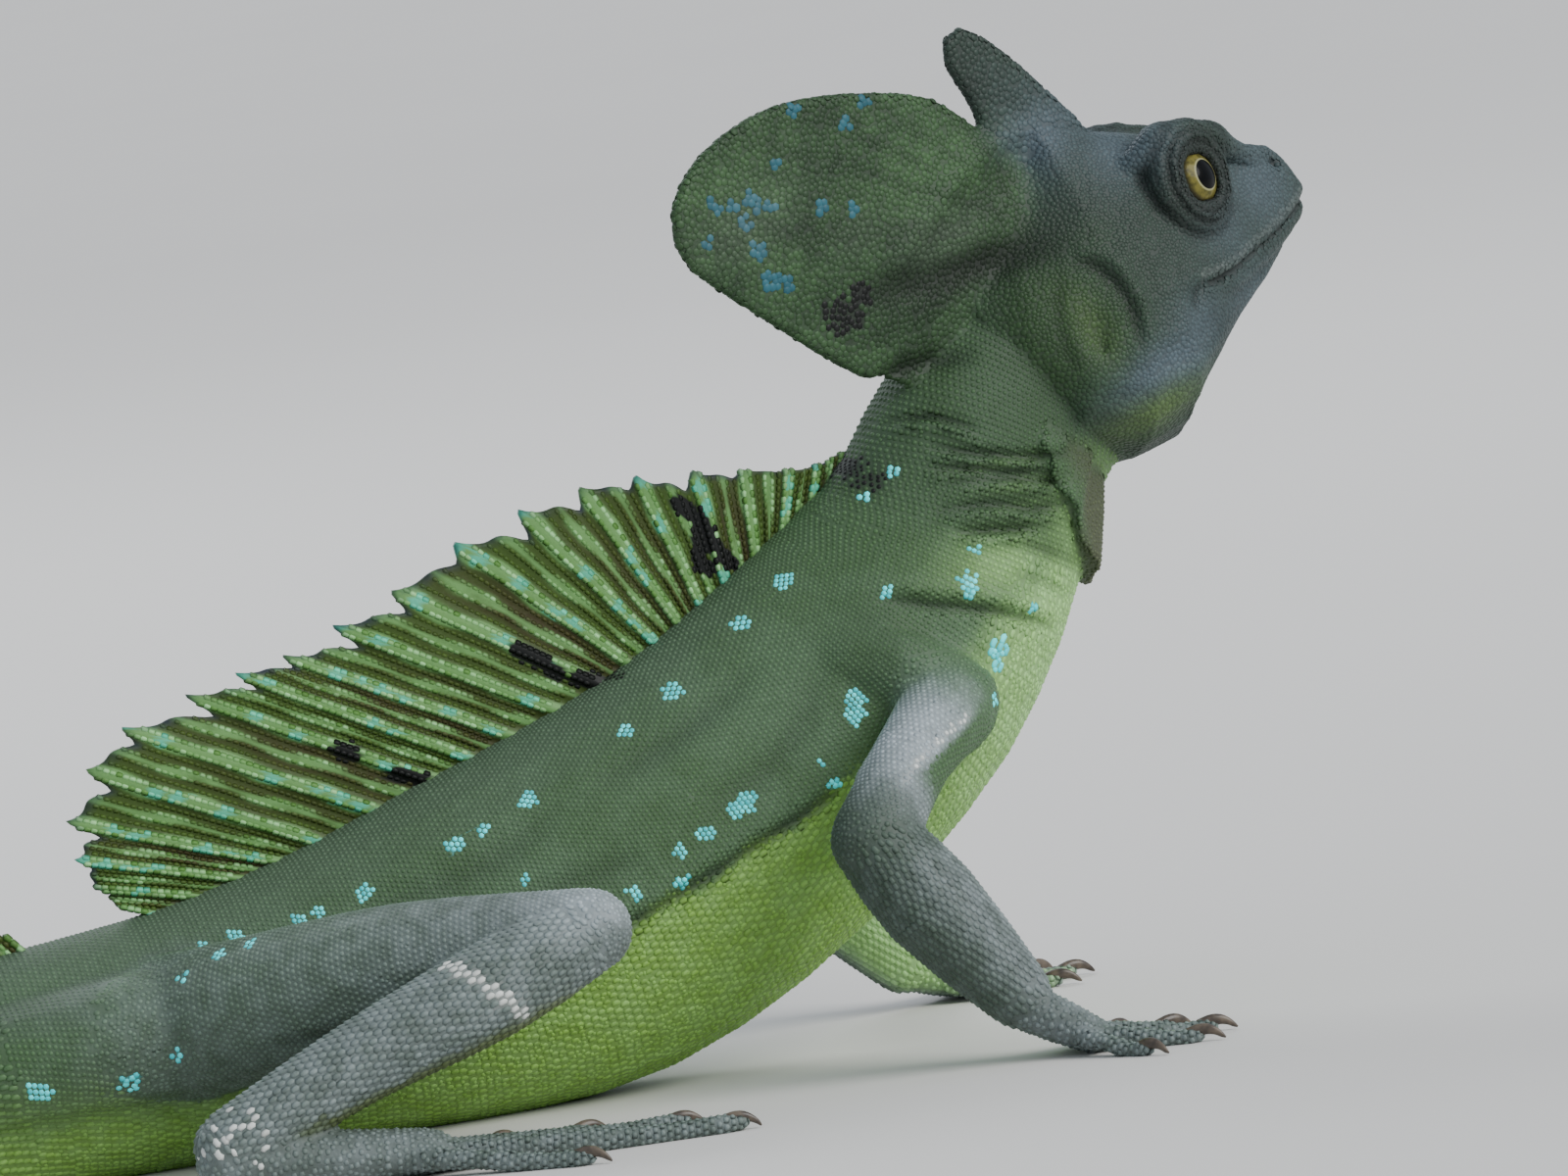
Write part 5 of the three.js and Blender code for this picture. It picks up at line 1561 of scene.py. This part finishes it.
def crest_thickness(u, v, rays, thick, rib):
    """The thickness at u along a crest and v up it: most along its ribs, least at its edge."""
    strong, weak = rib_of(u, rays)
    furrow = 0.10 * np.sin(np.pi * u * rays * 6) ** 2
    return (thick + rib * (strong + weak) * (1 - 0.5 * v) + furrow) * (1 - 0.35 * v**6)


def sway(u, v):
    """How far a crest leans to one side."""
    return 0.35 * np.sin(u * 47) * v**1.5


# %% Make a crest as a sheet with two faces
def crest_marks(x, z, u, v, reach, rays, luck):
    """Paint of a crest: ribs, brown bands, dark edge, black strokes and turquoise flecks."""
    step = u * rays + 0.05 * np.sin(reach * 0.45 + np.round(u * rays) * 2.0)
    strong, weak = np.cos(np.pi * step) ** 14, np.sin(np.pi * step) ** 24
    w = step % 1
    band = soft_step(w, 0.08, 0.22) * (1 - soft_step(w, 0.62, 0.86))
    band = band * (0.55 + 0.45 * np.sin(np.floor(step) * 2.4 + 1))
    band = band * (1 - 0.5 * soft_step(v, 0.55, 0.95))
    piece = reach / 3.4 + np.round(step) * 0.37
    fleck = np.sin(np.round(step) * 12.9 + np.floor(piece) * 78.2) * 43758.5 % 1
    dash = (fleck > 0.5) & (piece % 1 < 0.62)
    black = np.zeros(len(x))
    for stroke in BLACK_STROKES:
        black = np.maximum(black, flat_distance(x, z, stroke) < 0.75 + 0.9 * luck)
    return {
        "rib": np.clip(strong * 1.2 + weak * 0.5, 0, 1), "band": band, "edge": soft_step(v, 0.94, 1.0),
        "spot": ((strong > 0.4) & dash & (luck > 0.25)) * 1.0, "black": black,
    }


def solid_piece(name, points, faces, finish):
    """A smooth closed piece from points in millimetres."""
    mesh = bpy.data.meshes.new(name)
    mesh.from_pydata((np.asarray(points) * MM).tolist(), [], faces)
    cloth = bmesh.new()
    cloth.from_mesh(mesh)
    bmesh.ops.recalc_face_normals(cloth, faces=cloth.faces)
    cloth.to_mesh(mesh)
    cloth.free()
    mesh.polygons.foreach_set("use_smooth", [True] * len(mesh.polygons))
    mesh.materials.append(finish)
    return in_scene(name, mesh)


def crest_sheet(name, lines, rays, per_ray, rows, thick, rib):
    """The skin of a crest: a right and a left face, closed along the rim."""
    columns, across = rays * per_ray, rows + 1
    grids = np.meshgrid(np.linspace(0, 1, columns + 1), np.linspace(0, 1, across), indexing="ij")
    u, v = (grid.ravel() for grid in grids)
    low, high, side = lines(u)
    middle = low + (high - low) * v[:, None] + side * sway(u, v)[:, None]
    half = side * crest_thickness(u, v, rays, thick, rib)[:, None] / 2
    points = np.vstack([middle + half, middle - half])
    count = len(u)
    faces = []
    for i in range(columns):
        for a in range(i * across, i * across + rows):
            b, c, d = a + across, a + across + 1, a + 1
            faces.append((a, b, c, d))
            faces.append((count + a, count + d, count + c, count + b))
    rim = [i * across for i in range(columns)] + [columns * across + j for j in range(rows)]
    rim += [i * across + rows for i in range(columns, 0, -1)] + list(range(rows, 0, -1))
    for k, a in enumerate(rim):
        b = rim[(k + 1) % len(rim)]
        faces.append((a, count + a, count + b, b))
    piece = solid_piece(name, points, faces, CREST_SKIN)
    reach = np.linalg.norm(high - low, axis=1) * v
    even = np.ones(len(points))
    twice = [np.tile(values, 2) for values in (u, v, reach)]
    paint = crest_marks(points[:, 0], points[:, 2], *twice, rays, even / 2)
    keep_on(piece.data, grain=even * 0.3, crown=even * 0.4, crease=even * 0, **paint)
    return piece


def crest_beads(name, lines, rays, thick, rib, pitch):
    """Rows of bead scales along both faces of a crest."""
    rows = []
    for lane in range(rays * LANES):
        start = np.array([(lane + 0.5) / (rays * LANES)])
        (low,), (high,), (side,) = lines(start)
        length = np.linalg.norm(high - low)
        v = np.repeat(np.arange((SUNK + 0.3 * (lane % 2)) / length, 0.985, pitch / length), 2)
        u = np.repeat(start, len(v))
        way = np.resize([1.0, -1.0], len(v))
        out = sway(u, v) + way * crest_thickness(u, v, rays, thick, rib) / 2
        at = low + (high - low) * v[:, None] + side * out[:, None]
        rows.append((at, side * way[:, None], np.tile(unit(high - low), (len(v), 1)), u, v, v * length))
    at, ways, lies, u, v, reach = (np.concatenate(values) for values in zip(*rows))
    luck = chance.random(len(at))
    values = crest_marks(at[:, 0], at[:, 2], u, v, reach, rays, luck)
    values |= {"grain": chance.random(len(at)), "crease": 0 * u}
    sizes = pitch * (0.92 + 0.22 * rib_of(u, rays)[0] + 0.1 * luck)
    owner = np.full(len(at), PARTS.index("abdomen"))
    piece = lay_coat(name, at, ways, lies, sizes, values, owner, BEAD, 1.0, CREST_SCALES)


# %% Finishes of the crests
CREST = {"rib": (0.110, 0.280, 0.050), "rib_light": (0.300, 0.600, 0.250), "olive": (0.050, 0.100, 0.012),
         "brown": (0.046, 0.034, 0.008), "edge": (0.014, 0.018, 0.060), "fleck": (0.090, 0.600, 0.400)}


def crest_finish(name, beads):
    look = Finish(name)
    mottle = look.between(look.noise(4.0, 4), 0.3, 0.7)
    web = look.mix(CREST["olive"], CREST["brown"], look.mark("band") * (0.65 + mottle * 0.35))
    rib = look.mix(CREST["rib"], CREST["rib_light"], look.mark("grain"))
    colour = look.mix(web, rib, look.between(look.mark("rib") + mottle * 0.15, 0.12, 0.62))
    colour = look.mix(colour, CREST["fleck"], look.mark("spot") * 0.85)
    colour = look.mix(colour, CREST["edge"], look.mark("edge") * (0.2 + mottle * 0.6))
    colour = look.mix(colour, PAINT["black"], look.mark("black"))
    colour = look.shade(colour, 0.82 + look.mark("grain") * 0.36)
    # Painted shade: each bead darker at its rim than at its crown.
    colour = look.shade(colour, 0.7 + look.between(look.mark("crown"), 0.0, 0.75) * 0.35)
    bump = look.bump(look.noise(0.4) if beads else look.cells(0.6), 0.4, 0.08)
    rough = 0.42 + look.noise(2.0) * 0.2
    return look.finish(Base_Color=colour, Roughness=rough, Specular_IOR_Level=0.3, Normal=bump)


CREST_SKIN, CREST_SCALES = crest_finish("crest membrane", False), crest_finish("crest scales", True)
# Each crest: how it is drawn, its rays, its thickness and that of its ribs, the columns of the sheet to a
# ray, its rows, and the pitch of its beads.
CRESTS = {
    "sail": ("crest_back", sail_lines, len(BACK_RAYS) - 1, 0.8, 2.1, 16, 34, 1.0),
    "tail_fin": ("crest_tail", tail_lines, TAIL_CREST["rays"], 0.8, 1.3, 10, 16, 1.2),
}
for name, (node, lines, rays, thick, rib, per_ray, rows, pitch) in CRESTS.items():
    sheet = crest_sheet(name, lines, rays, per_ray, rows, thick, rib)
    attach(sheet, "root")
    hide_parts(node)
    crest_beads("scales_" + name, lines, rays, thick, rib, pitch)
print("crests made", passed())

# %% [markdown]
# ## Eyes and claws
# An eye is a wet ball that sits deep in its ring of lids, so only a disc of it shows: a round black pupil
# in a ring of gold that darkens outwards. Its paint follows one number, the angle from the way it looks.
# The claws are small horn hooks, one on each digit, curved down to the ground.

# %% Eyes
PUPIL, IRIS = 2.3, 4.0
LOOK_AHEAD = 0.1
GOLD = {"light": (0.17, 0.15, 0.035), "dark": (0.07, 0.065, 0.018), "rim": (0.022, 0.020, 0.010),
        "ring": (0.34, 0.33, 0.17), "pupil": (0.001, 0.001, 0.001)}


def eye_finish():
    look = Finish("eye")
    turn = look.mark("turn")
    flecks = look.noise(0.9, 5)
    pupil, iris = (math.degrees(math.asin(radius / EYE["radius"])) for radius in (PUPIL, IRIS))
    gold = look.mix(GOLD["light"], GOLD["dark"], look.between(flecks, 0.35, 0.7))
    colour = look.mix(gold, GOLD["rim"], look.between(turn + flecks * 2.0, iris - 11, iris))
    colour = look.mix(GOLD["ring"], colour, look.between(turn, pupil + 0.5, pupil + 4))
    colour = look.mix(GOLD["pupil"], colour, look.between(turn, pupil - 0.8, pupil + 0.4))
    return look.finish(
        Base_Color=colour, Roughness=0.3, Coat_Weight=0.14, Coat_Roughness=0.02, Specular_IOR_Level=0.06)


def make_eye(side, label, finish, rings_count=60, around=72):
    """An eyeball whose poles lie along the way the eye looks out."""
    middle, way, across, upward = eye_frame(side)
    middle = middle + way * EYE["out"]
    points, faces = [middle + way * EYE["radius"]], []
    for i in range(1, rings_count):
        a = math.pi * i / rings_count
        for k in range(around):
            b = 2 * math.pi * k / around
            ray = across * math.cos(b) + upward * math.sin(b)
            points.append(middle + (way * math.cos(a) + ray * math.sin(a)) * EYE["radius"])
    points.append(middle - way * EYE["radius"])
    last = 1 + (rings_count - 2) * around
    for k in range(around):
        n = (k + 1) % around
        faces.append((0, 1 + k, 1 + n))
        faces.append((len(points) - 1, last + n, last + k))
        for a in range(1, last, around):
            b = a + around
            faces.append((a + k, b + k, b + n, a + n))
    look = unit(way - side * LOOK_AHEAD * across)
    turns = np.degrees(np.arccos(np.clip((np.array(points) - middle) @ look / EYE["radius"], -1, 1)))
    piece = solid_piece("eyeball_" + label, head_place(np.array(points)), faces, finish)
    keep_on(piece.data, turn=turns)
    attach(piece, "root")
    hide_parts("eye_" + label)


EYE_FINISH = eye_finish()
for side, label in BOTH:
    make_eye(side, label, EYE_FINISH)
print("two eyes, each", 2 * EYE["radius"], "mm across")


# %% Claws
HORN, HORN_LIGHT = (0.045, 0.034, 0.026), (0.130, 0.100, 0.070)


def claw_finish():
    look = Finish("claw horn")
    grown = look.between(look.noise(1.6, 4), 0.3, 0.7)
    colour = look.mix(HORN, HORN_LIGHT, grown)
    bump = look.bump(look.noise(0.5), 0.2, 0.05)
    return look.finish(Base_Color=colour, Roughness=0.28 + grown * 0.12, Normal=bump)


def claw_line(paw, index, side):
    """A claw's stations, from inside the tip of its digit down to the ground."""
    line = digit_line(paw, index, side)
    tip, ahead = line[3, :3], unit((line[3] - line[2])[:3] * [1, 1, 0])
    low = tip[2]
    rows = [(-0.25, low + 0.3, 0.95), (0.15, low + 0.75, 0.92), (0.45, low + 0.75, 0.78),
            (0.72, low + 0.3, 0.55), (0.92, low - 0.35, 0.34), (1.0, 0.42, 0.18)]
    places = [tip + ahead * reach * CLAW["length"] for reach, _, _ in rows]
    return np.array([[x, y, z, size * CLAW["radius"]] for (x, y, _), (_, z, size) in zip(places, rows)])


def make_claws():
    points, faces = [], []
    for _, paw, side in PAWS:
        for index in range(len(paw["digits"])):
            line = smooth_line(claw_line(paw, index, side), np.linspace(0, 5, 13))
            p, f = closed_tube(line[:, :3], line[:, 3] * 0.72, line[:, 3], sides=10)
            start = sum(len(q) for q in points)
            p[:, 2] = np.maximum(p[:, 2], 0.02)
            points.append(p)
            faces += [[start + k for k in face] for face in f]
    piece = solid_piece("claws", np.vstack(points), faces, claw_finish())
    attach(piece, "root")


make_claws()
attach(skin, "root")
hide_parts(*PARTS)
print("claws made; skin stands for", len(PARTS), "solids")

# %% [markdown]
# ## Floor and light
# A pale floor without a seam, one broad soft light from ahead of the animal and above, a weak lamp behind
# to lift the far outline, and a sky that is a little blue, as in open shade. The floor throws light back
# up under the belly, which keeps its green bright.

# %% Floor and light
SKY = {"colour": (0.80, 0.88, 1.0, 1), "strength": 0.7}
MIDDLE = Vector((0.04, 0, 0.06))
RIM_LAMP = Vector((-0.3, 1.3, 1.2))
FLOOR_REACH = 40.0


def make_floor():
    look = Finish("floor")
    colour = look.mix((0.70, 0.68, 0.65), (0.73, 0.71, 0.68), look.noise(400))
    corners = [(x * FLOOR_REACH, y * FLOOR_REACH, 0) for x, y in ((-1, -1), (1, -1), (1, 1), (-1, 1))]
    mesh = bpy.data.meshes.new("floor")
    mesh.from_pydata(corners, [], [(0, 1, 2, 3)])
    mesh.materials.append(look.finish(Base_Color=colour, Roughness=0.85))
    floor = in_scene("floor", mesh)
    floor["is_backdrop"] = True


def add_light(name, kind, toward, strength, colour, **settings):
    """A light of some kind that shines from the way toward; settings are its own."""
    lamp = bpy.data.lights.new(name, kind)
    lamp.energy = strength
    lamp.color = colour
    for key, value in settings.items():
        setattr(lamp, key, value)
    holder = in_scene(name, lamp)
    holder.rotation_euler = Vector(toward).to_track_quat("Z", "Y").to_euler()
    return holder


make_floor()
rim = add_light("rim", "AREA", RIM_LAMP - MIDDLE, 9, (0.93, 0.97, 1.0), shape="DISK", size=0.8)
rim.location = RIM_LAMP
add_light("key", "SUN", (0.62, -0.62, 0.62), 2.75, (1.0, 0.985, 0.955), angle=math.radians(40))
world = bpy.data.worlds.new("sky")
bpy.context.scene.world = world
world.use_nodes = True
sky = world.node_tree.nodes["Background"].inputs
sky["Color"].default_value = SKY["colour"]
sky["Strength"].default_value = SKY["strength"]
print("floor, a sun, a lamp and a sky")

# %% Close
dressed_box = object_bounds()
sizes = {"cad": [list(corner) for corner in solid_box], "visual": [list(corner) for corner in dressed_box]}
print("triangles in all:", sum(triangles_of(p.data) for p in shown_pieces()))
print("finished", passed())
